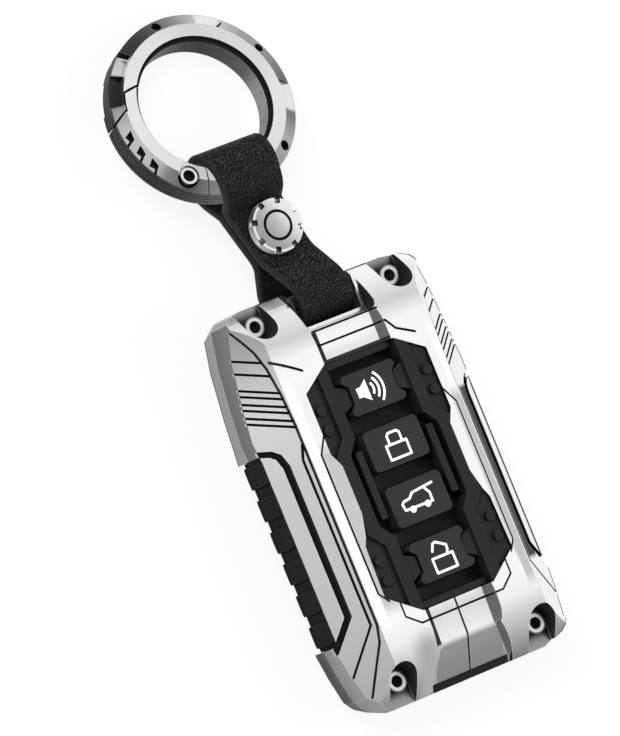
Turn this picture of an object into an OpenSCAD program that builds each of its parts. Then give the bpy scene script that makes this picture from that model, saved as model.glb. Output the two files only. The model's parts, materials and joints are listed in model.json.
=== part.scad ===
// Key fob cover: two metal shells round a slim key, a black keypad, rubber side grips,
// a leather strap looped round a cross bar and a sprung-gate ring at the strap's end.
// It lies on its back. X is across, Y runs along it towards the ring, Z points out of the keys.

/* [Body] */
// Length of the shells along Y
body_len = 86; // [82:0.5:92]
// Width of the shells across the lower shoulders
body_w = 52.8; // [51:0.2:57]
// Height of the closed cover from its back to the shoulders
body_h = 20.5; // [19.8:0.1:22]
// Height of the rear cover, up to the parting line
rear_h = 7.3; // [6.4:0.1:8]
// Thickness of the back plate
back_t = 1.2; // [0.8:0.1:1.6]
// Width of the channel that runs down the middle of the front
channel_w = 16.2; // [15.8:0.1:16.6]
// Depth of that channel below the shoulders
channel_d = 2; // [1.6:0.1:2.4]
// How far the slanted side faces are sunk below the shoulders
facet_sink = 0.7; // [0.4:0.1:1]
// Width of the fine lines cut in the shell
line_w = 0.4; // [0.2:0.05:0.6]
// Depth of the fine lines
line_d = 0.6; // [0.3:0.1:0.8]

/* [Key space] */
// Wall of the rubber key liner
liner_t = 0.8; // [0.6:0.1:1]

/* [Keys] */
// Gap between one key and the next
key_gap = 3.5; // [3:0.1:4]
// Width of the two middle keys
key_cap_w = 13.2; // [12.4:0.1:13.6]
// How far a key sinks when it is pressed
key_travel = 0.7; // [0.4:0.1:0.8]

/* [Grips] */
// Number of rubber blocks on each side
grip_count = 6; // [4:1:7]
// Length of one block along Y
grip_block_len = 4.6; // [4:0.1:5.4]
// Distance from block to block
grip_pitch = 6.9; // [6.4:0.1:7]

/* [Screws] */
// Diameter of a cover screw's head
screw_head_d = 4.5; // [4:0.1:5]
// Diameter of a cover screw's shank
screw_d = 2.4; // [2:0.1:2.6]

/* [Strap] */
// Thickness of the leather
strap_t = 1.9; // [1.6:0.1:2]
// Width of the strap at the cross bar
strap_bar_w = 12.6; // [11.6:0.2:12.8]
// Width of the strap where it folds round the ring
strap_fold_w = 14.6; // [13.8:0.2:14.8]
// Diameter of the steel cross bar
bar_d = 3.4; // [2.6:0.1:4]
// Diameter of the strap screw's head
stud_d = 11.2; // [10.4:0.2:11.2]
// Height of the strap screw's head above the leather
stud_h = 2.2; // [1.6:0.1:2.6]

/* [Ring] */
// Inner diameter of the ring
ring_id = 27.8; // [27.6:0.2:29]
// Outer diameter of the ring
ring_od = 40; // [39.6:0.2:41]
// Thickness of the ring at its bright inner band
ring_t = 7.6; // [7:0.1:7.8]
// How far the ring tips from level, its far side resting on the table
ring_tilt = 11.5; // [10:0.5:12]

/* [Hidden] */
$fn = 64;

// Fits and cutting overrun
over = 1;
part_gap = 0.2;
fit_gap = 0.02;
run_gap = 0.05;
seat_gap = 0.1;
split_gap = 0.3;

// Outline of the shells, as shares of the half width and half length, right half from the top
outline_shares = [
    [0, 1], [0.644, 1], [0.8, 0.985], [0.856, 0.958], [0.917, 0.79], [0.962, 0.56], [0.985, 0.4],
    [0.972, 0.3], [0.972, -0.6], [1, -0.63], [0.972, -0.76], [0.925, -0.9], [0.848, -0.963], [0.7, -1], [0, -1]
];
// Boundary between shoulder and side face, from the top corner to the bottom corner
ridge_shares = [
    [0.9, 0.965], [0.865, 0.92], [0.82, 0.86], [0.775, 0.79], [0.742, 0.7], [0.72, 0.56], [0.71, 0.4],
    [0.71, -0.6], [0.735, -0.68], [0.8, -0.77], [0.9, -0.91]
];
side_x = body_w / 2;
end_y = body_len / 2;

// Heights, and how the front falls towards its side edges and its two ends
floor_z = body_h - channel_d;
crown_drop = 0.25;
edge_drop = 1.1;
crown_x_share = 0.549;
crown_x = crown_x_share * side_x;
ridge_x_share = 0.708;
ridge_x = ridge_x_share * side_x;
facet_slope = 0.87;
facet_top = body_h - edge_drop - facet_sink;
crown_steps = 12;
end_crown_share = 0.7;
end_crown_drop = 7.8;
tail_crown_share = 0.686;
tail_crown_drop = 8;
back_draft = 1.7;
draft_corner_edges = [2, 3, 4, 5, 9, 10, 11, 12];
draft_land = 0.2;
back_edge = 1.6;

// Key space and liner
key_len_share = 0.779;
key_len = key_len_share * body_len;
key_w_share = 0.7386;
key_w = key_w_share * body_w;
cavity_end_share = 0.149;
cavity_tail_run = 6.4;
cavity_w = key_w + 2 * liner_t + 2 * part_gap;
cavity_top = end_y - cavity_end_share * body_len;
cavity_bottom = cavity_top - key_len - 2 * liner_t;
cavity_wide_bottom = cavity_bottom + cavity_tail_run;
cavity_end_w_share = 0.5;
cavity_end_w = cavity_end_w_share * body_w;
roof_sink = 7.7;
roof_z = body_h - roof_sink;
liner_top_gap = 0.15;
liner_z = roof_z - liner_top_gap;
liner_base = 0.6;

// Panel and keys, all along Y as shares of the shells' length
panel_share = 0.6233;
panel_len = panel_share * body_len;
key_pitch_share = 0.2257;
key_pitch = key_pitch_share * panel_len;
key_first_share = 0.347;
key_first = key_first_share * panel_len;
key_cap_len = key_pitch - key_gap;
panel_sink = 4.7;
panel_z = body_h - panel_sink;
panel_t = 0.9;
panel_bottom = panel_z - panel_t;
pod_sink = 0.8;
pod_z = body_h - pod_sink;
rail_proud = 0.1;
rail_z = body_h + rail_proud;
ear_sink = 0.6;
ear_z = body_h - ear_sink;
bracket_sink = 0.2;
bracket_z = body_h - bracket_sink;
// Half outline of the panel as shares of its half length and of its half width
panel_w = 31.2;
panel_shares = [
    [0.54, 0.985], [0.94, 0.83], [0.94, 0.34], [0.9, 0.3], [0.845, 0.235], [0.845, -0.15],
    [0.92, -0.315], [0.98, -0.39], [1, -0.8], [0.55, -0.99]
];
rail_shares = [
    [0.54, 1], [0.7, 0.94], [0.7, 0.43], [0.89, 0.3], [0.845, 0.235], [0.845, -0.15], [0.9, -0.32],
    [0.71, -0.44], [0.71, -0.94], [0.54, -1], [0.54, -0.4], [0.69, -0.29], [0.69, 0.28], [0.54, 0.39]
];
bump_d = 2.1;
bump_h = 0.9;
bump_places = [
    [0.835 * panel_w / 2, 0.675 * panel_len / 2], [0.835 * panel_w / 2, 0.515 * panel_len / 2],
    [0.88 * panel_w / 2, -0.53 * panel_len / 2], [0.88 * panel_w / 2, -0.69 * panel_len / 2]
];
bar_end_t = 1.3;
bar_end_proud = 0.2;
bar_end_z = floor_z + bar_end_proud;
bracket_w = 1.5;
bracket_out = 1.3;
bracket_x = key_cap_w / 2 + bracket_out;
bracket_share = 0.272;
bracket_len = bracket_share * panel_len;
flange_w = 1.2;
flange_share = 0.448;
flange_len = flange_share * panel_len;
valley_w = 16.9;
cap_round = 1.1;
cap_flange = 0.7;
flange_t = 0.6;
waist_in = 1.25;
waist_len = 3.6;
key_sink = 0.05;
key_z = body_h - key_sink;
mat_t = 0.5;
mat_inset = 1;
mat_rim = 1;
mat_z = panel_bottom - seat_gap - flange_t - key_travel - run_gap - mat_t;
icon_t = 0.3;
icon_proud = 0.05;
stroke = 0.52;

// Screws
screw_end = 4.2;
screw_tail = 5.2;
screw_places = [
    [0.6265 * side_x, end_y - screw_end], [-0.6265 * side_x, end_y - screw_end],
    [0.652 * side_x, screw_tail - end_y], [-0.652 * side_x, screw_tail - end_y]
];
head_sink = 6.1;
head_z = body_h - head_sink;
head_h = 2.2;
pocket_gap = 1.1;
pocket_r = screw_head_d / 2 + pocket_gap;
screw_tip_z = 2.6;
socket_d = 2.6;
socket_depth = 1.3;

// Grips
grip_z0 = 0.3;
grip_top_sink = 8.3;
grip_z1 = body_h - grip_top_sink;
grip_in = 3.8;
grip_in_x = side_x - grip_in;
grip_root_t = 3.3;
grip_proud = 0.6;
grip_mid = -0.147 * end_y;
grip_margin = 0.9;
grip_span = (grip_count - 1) * grip_pitch + grip_block_len + 2 * grip_margin;
grip_round = 1.1;
grip_crease_share = 0.58;
grip_foot_in = 2.65;
grip_top_in = 0.85;

// Cross bar and its two ears
bar_in = 2.5;
bar_y = end_y - bar_in;
bar_z = 8.8;
ear_x0 = 7.4;
ear_t = 2.2;
ear_r = 2.5;
slot_w = 14.6;
loop_r = 8.75;
slot_run_y = 5.65;
slot_y = bar_y - slot_run_y;

// Mouth of the strap's slot and the bright lip in it
mouth_w = 16.6;
mouth_run = 1.1;
mouth_y = slot_y - mouth_run;
mouth_rise = 6.6;
mouth_z = bar_z + mouth_rise;
mouth_round = 1.4;
frame_in_w = 14.6;
frame_wall = 0.7;
frame_h = 0.6;
frame_end = 1.3;
frame_top = end_y - frame_end;
frame_round = 1.1;

// Strap: half height of its middle line at the bar, the screw and the ring
loop_bar_in = 6.5;
loop_bar_h = loop_bar_in + strap_t / 2;
fold_in_r = 5;
loop_fold_r = fold_in_r + strap_t / 2;
pinch_gap = 0.45;
pinch_h = pinch_gap + strap_t / 2;
loop_ahead = 4;
loop_start_y = bar_y - loop_ahead - strap_t / 2;
loop_corner = 4.4;
loop_end = 1.1;
loop_end_y = end_y - loop_end;
stud_ahead = 13.4;
stud_y = end_y + stud_ahead;
stud_x = -2.9;
stud_z = 9.6;
pinch_near = 4.6;
pinch_in = 0.55;
pinch_far = stud_d / 2 - pinch_in;
near_bend = 4;
far_bend = 1.6;
stud_hub_d = 8.6;
stud_hub_h = 0.4;
post_d = 4;
post_head_d = 9;
post_head_h = 1.2;
cap_d = 5.4;
groove_w = 0.45;
groove_d = 0.5;
notch_count = 8;
notch_w = 1.2;
notch_d = 1.1;

// Ring, about its own centre; angles count from +X towards +Y
ring_r0 = ring_id / 2;
ring_r1 = ring_od / 2;
lip_w = 0.8;
lip_d = 1.3;
lip_r = ring_r0 + lip_w;
band_w = 3.5;
band_r = ring_r0 + band_w;
rim_drop = 1.4;
rim_t = ring_t - 2 * rim_drop;
rest_gap = 0.05;
ring_x = -5.7;
fold_radius = 15.85;
ring_ahead = 41.4;
ring_y = end_y + ring_ahead;
ring_z = band_r * sin(ring_tilt) + ring_t / 2 * cos(ring_tilt) + rest_gap;
fold_y = ring_y - fold_radius * cos(ring_tilt);
fold_z = ring_z + fold_radius * sin(ring_tilt);
fold_x = -5.6;
line_count = 3;
line_pitch = 1.2;
line_cut = 0.25;

// Gate: its hinge and the two stepped ends of its split
pivot_angle = 230;
pivot_r = 17.4;
pivot_pin_d = 1.8;
pivot_head_d = 3.6;
pivot_head_h = 1.5;
pivot_sink = 0.1;
pocket_d = 4.4;
pivot_hole_d = 2.35;
pivot_hole_h = 1.2;
hinge_b = 4.52;
hinge_slope = 0.4528;
hinge_in_a = -2.7;
hinge_back = 1.4;
tip_out_angle = 173;
tip_mid_angle = 166;
band_out_angle = 154;
band_in_angle = 144;
tongue_t = 2.4;
tongue_end_r = 1.95;
tongue_half = 1.5;
screw_angles = [95, 22, -50];
ring_screw_d = 2;
ring_screw_r = 18.6;
spring_wire = 0.35;
spring_d = 2.7;
spring_turns = 6;

// Turns a profile drawn in X and Z into a bar that runs along Y from y0 to y1
module along_y(y0, y1) {
    translate([0, y1, 0])
        rotate([90, 0, 0])
            linear_extrude(y1 - y0) children();
}

// Turns a profile drawn in Y and Z into a bar that runs along X, centred
module along_x(width) {
    translate([-width / 2, 0, 0])
        rotate([90, 0, 90])
            linear_extrude(width) children();
}

module both_sides() {
    children();
    mirror([1, 0, 0]) children();
}

function scaled(shares, sx, sy) = [for (p = shares) [p[0] * sx, p[1] * sy]];
function flipped(points) = [for (i = [len(points) - 1:-1:0]) [-points[i][0], points[i][1]]];
function ring_point(r, angle) = [r * cos(angle), r * sin(angle)];
function ease(t) = let (u = min(1, max(0, t))) u * u * (3 - 2 * u);
function arc_points(c, r, a0, a1, n) = [for (i = [0:n]) c + r * [cos(a0 + (a1 - a0) * i / n), sin(a0 + (a1 - a0) * i / n)]];

module outline() {
    half = scaled(outline_shares, side_x, end_y);
    polygon(concat(half, flipped(half)));
}

// Round-cornered rectangle
module pad(w, l, r) {
    for (sx = [-1, 1], sy = [-1, 1])
        translate([sx * (w / 2 - r), sy * (l / 2 - r)]) circle(r);
    square([w - 2 * r, l], center = true);
    square([w, l - 2 * r], center = true);
}

// A straight stroke with round ends
module stroke_line(a, b, w) {
    d = b - a;
    translate(a) circle(w / 2);
    translate(b) circle(w / 2);
    translate(a)
        rotate(atan2(d[1], d[0]))
            translate([0, -w / 2]) square([norm(d), w]);
}

module stroke_path(points, w) {
    for (i = [0:len(points) - 2]) stroke_line(points[i], points[i + 1], w);
}

// Shells

module shoulder_profile() {
    edge_x = side_x + over;
    edge_z = body_h - edge_drop - facet_slope * (edge_x - ridge_x);
    half = [
        [0, body_h], [crown_x, body_h], [(crown_x + ridge_x) / 2, body_h - crown_drop],
        [ridge_x, body_h - edge_drop], [edge_x, edge_z], [edge_x, 0], [0, 0]
    ];
    polygon(concat(half, flipped(half)));
}

// Height along Y: level in the middle, falling ever faster to both ends
function crown(y0, y1, drop) = [
    for (k = [0:crown_steps]) [y0 + (y1 - y0) * k / crown_steps, body_h - drop * pow(k / crown_steps, 2)]
];

module length_profile() {
    polygon(concat(
        [[end_y, 0], [-end_y, 0]],
        backwards(crown(-tail_crown_share * end_y, -end_y, tail_crown_drop)),
        crown(end_crown_share * end_y, end_y, end_crown_drop)
    ));
}

// Space above a side face, sunk by a further depth
module above_facet(depth) {
    edge_x = side_x + over;
    z0 = facet_top - depth;
    both_sides()
        along_y(-end_y - over, end_y + over)
            polygon([
                [ridge_x - facet_sink, z0 + facet_slope * facet_sink], [edge_x, z0 - facet_slope * (edge_x - ridge_x)],
                [edge_x, body_h + over], [ridge_x - facet_sink, body_h + over]
            ]);
}

module facet_zone() {
    ridge = scaled(ridge_shares, side_x, end_y);
    linear_extrude(body_h + over)
        both_sides()
            polygon(concat(ridge, [[side_x + over, ridge[len(ridge) - 1][1]], [side_x + over, ridge[0][1]]]));
}

// Lines and slots cut across the slanted side faces, right half, in plan: the first is a fine line
slot_run_share = 0.254;
slot_drop_share = 0.0953;
slot_starts = [0.81, 0.745, 0.66, 0.63, 0.59, 0.56, 0.52, 0.49];
slot_w_fine = 0.5;
slot_d = 0.9;
groove_d_wide = 1.1;
groove_w_wide = 1.2;
accent_w = 0.45;
ridge_w = 0.4;

module side_slots() {
    run = slot_run_share * side_x;
    drop = slot_drop_share * end_y;
    for (share = slot_starts)
        stroke_line([ridge_x, share * end_y - drop], [ridge_x + run + over, share * end_y + drop / run * over], slot_w_fine);
}

module ridge_line() {
    stroke_path(scaled(ridge_shares, side_x, end_y), ridge_w);
}

module grip_groove() {
    stroke_path([
        [0.99 * side_x, 0.344 * end_y], [0.91 * side_x, 0.322 * end_y], [0.872 * side_x, 0.296 * end_y],
        [0.85 * side_x, 0.24 * end_y],
        [0.85 * side_x, -0.515 * end_y], [side_x, -0.65 * end_y]
    ], groove_w_wide);
}

module accent_line() {
    stroke_path([
        [0.715 * side_x, 0.31 * end_y], [0.745 * side_x, 0.24 * end_y], [0.745 * side_x, -0.59 * end_y],
        [0.96 * side_x, -0.79 * end_y]
    ], accent_w);
}

module facet_cuts() {
    intersection() {
        above_facet(0);
        facet_zone();
    }
    intersection() {
        above_facet(line_d);
        facet_zone();
        linear_extrude(body_h + over)
            both_sides() {
                ridge_line();
                accent_line();
            }
    }
    intersection() {
        above_facet(slot_d);
        facet_zone();
        linear_extrude(body_h + over)
            both_sides() side_slots();
    }
    intersection() {
        above_facet(groove_d_wide);
        facet_zone();
        linear_extrude(body_h + over)
            both_sides() grip_groove();
    }
}

// Fine lines on the shoulders: one crosses the left ridge, its partner leaves the channel on the right
module shoulder_lines() {
    translate([0, 0, body_h - line_d])
        linear_extrude(over + line_d) {
            stroke_line([-0.71 * side_x, 0.711 * end_y], [-0.513 * side_x, 0.628 * end_y], slot_w_fine);
            stroke_path([
                [0.28 * side_x, 0.709 * end_y], [0.315 * side_x, 0.709 * end_y], [0.375 * side_x, 0.655 * end_y],
                [0.52 * side_x, 0.607 * end_y]
            ], slot_w_fine);
            both_sides() {
                stroke_path([
                    [0.55 * side_x, 0.315 * end_y], [0.63 * side_x, 0.23 * end_y], [0.63 * side_x, -0.47 * end_y],
                    [0.57 * side_x, -0.52 * end_y]
                ], line_w);
                stroke_path([
                    [0.492 * side_x, -0.545 * end_y], [0.492 * side_x, -0.615 * end_y], [0.38 * side_x, -0.67 * end_y],
                    [0.28 * side_x, -0.67 * end_y]
                ], line_w);
            }
        }
}

// Channel down the middle: level ahead of the panel, sinking behind it, then a steep face at the tail
wall_run = 1.5;
tail_start_share = 0.61;
tail_knee_share = 0.8;
tail_sink = 0.6;
tail_fall = 4.8;
tail_run_share = 0.16;
tail_flare_w = 2.7;
tail_notch_sink = 7.9;
tail_notch_z = body_h - tail_notch_sink;
tail_notch_in = 1.6;
tail_notch_w = 18.4;

// Cross section of the channel, its floor at zero
module channel_profile(half) {
    tall = body_h;
    polygon([
        [-half, 0], [half, 0], [half + tall * wall_run / channel_d, tall], [-half - tall * wall_run / channel_d, tall]
    ]);
}

module channel_cut() {
    half = channel_w / 2 - wall_run;
    knee_y = -tail_knee_share * end_y;
    knee_z = floor_z - tail_sink;
    start_y = -tail_start_share * end_y;
    translate([0, 0, floor_z]) along_y(0, mouth_y + over) channel_profile(half);
    sink = atan2(tail_sink, start_y - knee_y);
    translate([0, knee_y, knee_z])
        rotate([sink, 0, 0])
            along_y(0, start_y - knee_y + over) channel_profile(half);
    run = tail_run_share * end_y;
    fall = atan2(tail_fall, run);
    reach = norm([run, tail_fall]);
    intersection() {
        translate([0, knee_y, knee_z])
            rotate([fall, 0, 0])
                both_sides()
                    translate([half, 0, 0])
                        rotate([0, 0, atan2(tail_flare_w, reach)])
                            along_y(-2 * reach, reach)
                                polygon([
                                    [-2 * half, 0], [0, 0], [body_h * wall_run / channel_d, body_h], [-2 * half, body_h]
                                ]);
        translate([-side_x, -end_y - over, 0]) cube([body_w, end_y + over + knee_y, 2 * body_h]);
    }
    translate([-tail_notch_w / 2, -end_y - over, tail_notch_z])
        cube([tail_notch_w, over + tail_notch_in, body_h]);
}

// Lines across the channel, and the centre line towards the tail; all follow its surface
cross_lines = [0.779, 0.709, -0.67];

module channel_lines() {
    intersection() {
        translate([0, 0, -line_d]) channel_cut();
        linear_extrude(2 * body_h) {
            for (share = cross_lines)
                translate([0, share * end_y]) square([channel_w, line_w], center = true);
            translate([-line_w / 2, -end_y - over]) square([line_w, end_y + over - tail_start_share * end_y]);
        }
    }
}

// Arched pockets for the screw heads; all four run out at the ends of the shell
module screw_pockets() {
    for (p = screw_places) {
        translate([p[0], p[1], head_z - head_h])
            cylinder(r = pocket_r, h = body_h);
        translate([p[0] - pocket_r, p[1] > 0 ? p[1] : -end_y - over, head_z - head_h])
            cube([2 * pocket_r, end_y + over - abs(p[1]), body_h]);
        translate([p[0], p[1], 0])
            cylinder(d = screw_d + 2 * part_gap, h = body_h);
    }
}

// Room that the strap's loop sweeps about the cross bar
module loop_room(w) {
    translate([-w / 2, bar_y, bar_z])
        rotate([0, 90, 0])
            cylinder(r = loop_r, h = w);
}

module slot_room() {
    loop_room(slot_w);
    translate([-slot_w / 2, slot_y, bar_z])
        cube([slot_w, body_len, body_h]);
}

// Rounded mouth in the channel's floor round the slot
module mouth_plan(w, y0, r) {
    polygon(concat(
        arc_points([w / 2 - r, y0 + r], r, 270, 360, 5), [[w / 2, body_len], [-w / 2, body_len]],
        arc_points([r - w / 2, y0 + r], r, 180, 270, 5)
    ));
}

module slot_mouth() {
    translate([0, 0, mouth_z]) linear_extrude(body_h) mouth_plan(mouth_w, mouth_y, mouth_round);
}

module ear_room(gap) {
    both_sides()
        translate([ear_x0 - gap, bar_y - ear_r - gap, 0])
            cube([ear_t + 2 * gap, 2 * ear_r + body_len, bar_z + ear_r + gap]);
}

module cavity(z0, z1) {
    translate([-cavity_w / 2, cavity_wide_bottom, z0])
        cube([cavity_w, cavity_top - cavity_wide_bottom, z1 - z0]);
    translate([-cavity_end_w / 2, cavity_bottom, z0])
        cube([cavity_end_w, cavity_top - cavity_bottom, z1 - z0]);
}

module grip_room(z0, z1) {
    both_sides()
        translate([grip_in_x, grip_mid - grip_span / 2 - seat_gap, z0])
            cube([side_x, grip_span + 2 * seat_gap, z1 - z0]);
}

module panel_outline(gap) {
    half = scaled(panel_shares, panel_w / 2 + gap, panel_len / 2 + gap);
    polygon(concat(half, flipped(half)));
}

module front_shell() color("silver")
    difference() {
        intersection() {
            translate([0, 0, rear_h]) linear_extrude(body_h) outline();
            along_y(-end_y, end_y) shoulder_profile();
            along_x(body_w) length_profile();
        }
        facet_cuts();
        shoulder_lines();
        channel_cut();
        channel_lines();
        screw_pockets();
        slot_room();
        slot_mouth();
        ear_room(part_gap);
        cavity(0, roof_z);
        grip_room(0, grip_z1 + seat_gap);
        linear_extrude(body_h + over) panel_outline(seat_gap);
        translate([-panel_w / 2 - flange_w - part_gap, -flange_len / 2 - part_gap, 0])
            cube([panel_w + 2 * flange_w + 2 * part_gap, flange_len + 2 * part_gap, panel_z]);
    }

module back_profile() {
    polygon([
        [-side_x + back_draft, 0], [-side_x, rear_h], [side_x, rear_h], [side_x - back_draft, 0]
    ]);
}

// Everything inside the leaning plane under one slanting edge of a corner
module inside_draft(i) {
    a = scaled(outline_shares, side_x, end_y)[i];
    edge = scaled(outline_shares, side_x, end_y)[i + 1] - a;
    translate([a[0], a[1], rear_h - draft_land])
        rotate([0, 0, atan2(edge[1], edge[0])])
            rotate([-atan2(back_draft, rear_h - draft_land), 0, 0])
                translate([-body_len, -2 * body_len, -body_len])
                    cube(2 * body_len);
}

// The four corners lean in towards the back, as the long sides do
module corner_drafts() {
    intersection_for(i = draft_corner_edges)
        intersection() {
            inside_draft(i);
            mirror([1, 0, 0]) inside_draft(i);
        }
}

module back_length() {
    polygon([
        [-end_y + back_edge, 0], [-end_y, back_edge], [-end_y, rear_h], [end_y, rear_h], [end_y, back_edge],
        [end_y - back_edge, 0]
    ]);
}

// Shallow frame and ribs on the back
back_frame_w = 1;
back_frame_d = 0.4;
back_panel_w = 33;
back_panel_len = 48;
back_corner = 6;

module back_panel_shape(inset) {
    w = back_panel_w / 2 - inset;
    l = back_panel_len / 2 - inset;
    polygon([
        [-w, -l + back_corner], [-w + back_corner, -l], [w - back_corner, -l], [w, -l + back_corner],
        [w, l - back_corner], [w - back_corner, l], [-w + back_corner, l], [-w, l - back_corner]
    ]);
}

module rear_ears() {
    both_sides() {
        translate([ear_x0, bar_y - ear_r, rear_h - fit_gap])
            cube([ear_t, 2 * ear_r, bar_z - rear_h + fit_gap]);
        translate([ear_x0, bar_y, bar_z])
            rotate([0, 90, 0])
                cylinder(r = ear_r, h = ear_t);
    }
}

// Shallow notches low on the sides, below the paired slots
notch_starts = [0.645, 0.575, 0.505];
side_notch_len = 1.1;
side_notch_d = 0.5;
side_notch_h = 4.6;

module side_notches() {
    for (share = notch_starts)
        translate([0, share * end_y, 0])
            both_sides()
                rotate([0, atan2(back_draft, rear_h), 0])
                    translate([outline_shares[7][0] * side_x - back_draft - side_notch_d, -side_notch_len / 2, -over])
                        cube([side_x, side_notch_len, over + side_notch_h]);
}

module rear_cover() color("gainsboro")
    difference() {
        union() {
            difference() {
                intersection() {
                    linear_extrude(rear_h) outline();
                    along_y(-end_y, end_y) back_profile();
                    along_x(body_w) back_length();
                    corner_drafts();
                }
                loop_room(slot_w);
                translate([-slot_w / 2, slot_y, -over]) cube([slot_w, body_len, body_h]);
            }
            rear_ears();
        }
        cavity(back_t, body_h);
        grip_room(-over, body_h);
        side_notches();
        for (p = screw_places)
            translate([p[0], p[1], screw_tip_z - part_gap])
                cylinder(d = screw_d + part_gap, h = body_h);
        translate([-ear_x0 - ear_t, bar_y, bar_z])
            rotate([0, 90, 0])
                cylinder(d = bar_d + 2 * fit_gap, h = 2 * (ear_x0 + ear_t));
        translate([0, 0, -over])
            linear_extrude(over + back_frame_d)
                difference() {
                    back_panel_shape(0);
                    back_panel_shape(back_frame_w);
                }
    }

module key_liner() color("dimgray")
    difference() {
        translate([0, 0, 0]) {
            translate([-cavity_w / 2 + part_gap, cavity_wide_bottom + part_gap, back_t])
                cube([cavity_w - 2 * part_gap, cavity_top - cavity_wide_bottom - 2 * part_gap, liner_z - back_t]);
            translate([-cavity_end_w / 2 + part_gap, cavity_bottom + part_gap, back_t])
                cube([cavity_end_w - 2 * part_gap, cavity_top - cavity_bottom - 2 * part_gap, liner_z - back_t]);
        }
        wall = part_gap + liner_t;
        translate([-cavity_w / 2 + wall, cavity_wide_bottom + wall, back_t + liner_base])
            cube([cavity_w - 2 * wall, cavity_top - cavity_wide_bottom - 2 * wall, body_h]);
        translate([-cavity_end_w / 2 + wall, cavity_bottom + wall, back_t + liner_base])
            cube([cavity_end_w - 2 * wall, cavity_top - cavity_bottom - 2 * wall, body_h]);
    }

// Panel and keys

function key_y(i) = key_first - i * key_pitch;

module cap_shape(i, gap) {
    w = i == 0 || i == 3 ? key_cap_w - part_gap : key_cap_w;
    difference() {
        pad(w + 2 * gap, key_cap_len + 2 * gap, cap_round);
        if (i == 0 || i == 3)
            both_sides() {
                x0 = w / 2 - waist_in + gap;
                polygon([
                    [x0, -waist_len / 2], [x0 + waist_in + over, -waist_len / 2 - waist_in - over],
                    [x0 + waist_in + over, waist_len / 2 + waist_in + over], [x0, waist_len / 2]
                ]);
            }
    }
}

module key_holes(gap) {
    for (i = [0:3])
        translate([0, key_y(i)]) cap_shape(i, gap);
}

// Side ears that reach towards the waists of the first and last key
module key_ears() {
    x0 = key_cap_w / 2 - waist_in + part_gap + seat_gap;
    x1 = valley_w / 2;
    for (i = [0, 3])
        translate([0, key_y(i)])
            both_sides()
                polygon([
                    [x0, -waist_len / 2 + seat_gap], [x0, waist_len / 2 - seat_gap],
                    [x1 + over, waist_len / 2 + (x1 - x0) * 0.6], [x1 + over, -waist_len / 2 - (x1 - x0) * 0.6]
                ]);
}

module button_panel() color([0.17, 0.175, 0.18])
    difference() {
        union() {
            translate([0, 0, panel_bottom])
                linear_extrude(panel_z - panel_bottom) panel_outline(0);
            translate([0, 0, panel_bottom])
                linear_extrude(pod_z - panel_bottom)
                    difference() {
                        panel_outline(0);
                        valley = [for (i = [9:14]) scaled([rail_shares[i % 14]], panel_w / 2, panel_len / 2)[0]];
                        polygon(concat(valley, flipped(valley)));
                    }
            translate([0, 0, panel_bottom])
                linear_extrude(rail_z - panel_bottom)
                    intersection() {
                        both_sides() polygon(scaled(rail_shares, panel_w / 2, panel_len / 2));
                        panel_outline(0);
                    }
            translate([0, 0, panel_bottom])
                linear_extrude(ear_z - panel_bottom) key_ears();
            translate([0, 0, panel_bottom])
                linear_extrude(bracket_z - panel_bottom)
                    both_sides()
                        translate([bracket_x + bracket_w / 2, (key_y(1) + key_y(2)) / 2])
                            pad(bracket_w, bracket_len, bracket_w / 3);
            for (s = [-1, 1])
                translate([0, s * (panel_shares[0][1] * panel_len / 2 - bar_end_t / 2), panel_bottom])
                    linear_extrude(bar_end_z - panel_bottom) square([channel_w, bar_end_t], center = true);
            both_sides()
                for (p = bump_places)
                    translate([p[0], p[1], pod_z]) cylinder(d = bump_d, h = bump_h);
            translate([-panel_w / 2 - flange_w, -flange_len / 2, panel_bottom])
                cube([panel_w + 2 * flange_w, flange_len, panel_z - panel_bottom - seat_gap]);
        }
        linear_extrude(body_h) key_holes(seat_gap + run_gap);
    }

module keypad_mat() color("darkslategray")
    translate([0, 0, mat_z]) {
        linear_extrude(mat_t) panel_outline(-mat_inset);
        linear_extrude(panel_bottom - mat_z)
            difference() {
                panel_outline(-mat_inset);
                panel_outline(-mat_inset - mat_rim);
            }
    }

// One key: a cap with a flange under the panel that keeps it in, and a pocket for its icon
module key(i) {
    color([0.2, 0.205, 0.215])
        difference() {
            union() {
                translate([0, key_y(i), panel_bottom - flange_t - seat_gap])
                    linear_extrude(key_z - panel_bottom + flange_t + seat_gap) cap_shape(i, 0);
                translate([0, key_y(i), panel_bottom - flange_t - seat_gap])
                    linear_extrude(flange_t)
                        pad(key_cap_w + 2 * cap_flange, key_cap_len + 2 * cap_flange, cap_round);
            }
            translate([0, key_y(i), key_z - icon_t])
                linear_extrude(icon_t + over) icon_shape(i);
        }
}

module icon(i) color("white")
    translate([0, key_y(i), key_z - icon_t])
        linear_extrude(icon_t + icon_proud) icon_shape(i);

// Icon sizes follow the key's width
icon_u = key_cap_w / 13.2;

module lock_body(y0) {
    w = 2.45 * icon_u;
    h = 3 * icon_u;
    difference() {
        translate([0, y0 + h / 2]) pad(2 * w + stroke, h + stroke, stroke / 2);
        translate([0, y0 + h / 2]) square([2 * w - stroke, h - stroke], center = true);
    }
}

module arc_stroke(c, r, a0, a1, w) {
    intersection() {
        translate(c)
            difference() {
                circle(r + w / 2);
                circle(r - w / 2);
            }
        far = 3 * r;
        polygon([
            c, c + far * [cos(a0), sin(a0)], c + far * [cos((a0 + a1) / 2), sin((a0 + a1) / 2)],
            c + far * [cos(a1), sin(a1)]
        ]);
    }
}

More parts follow.
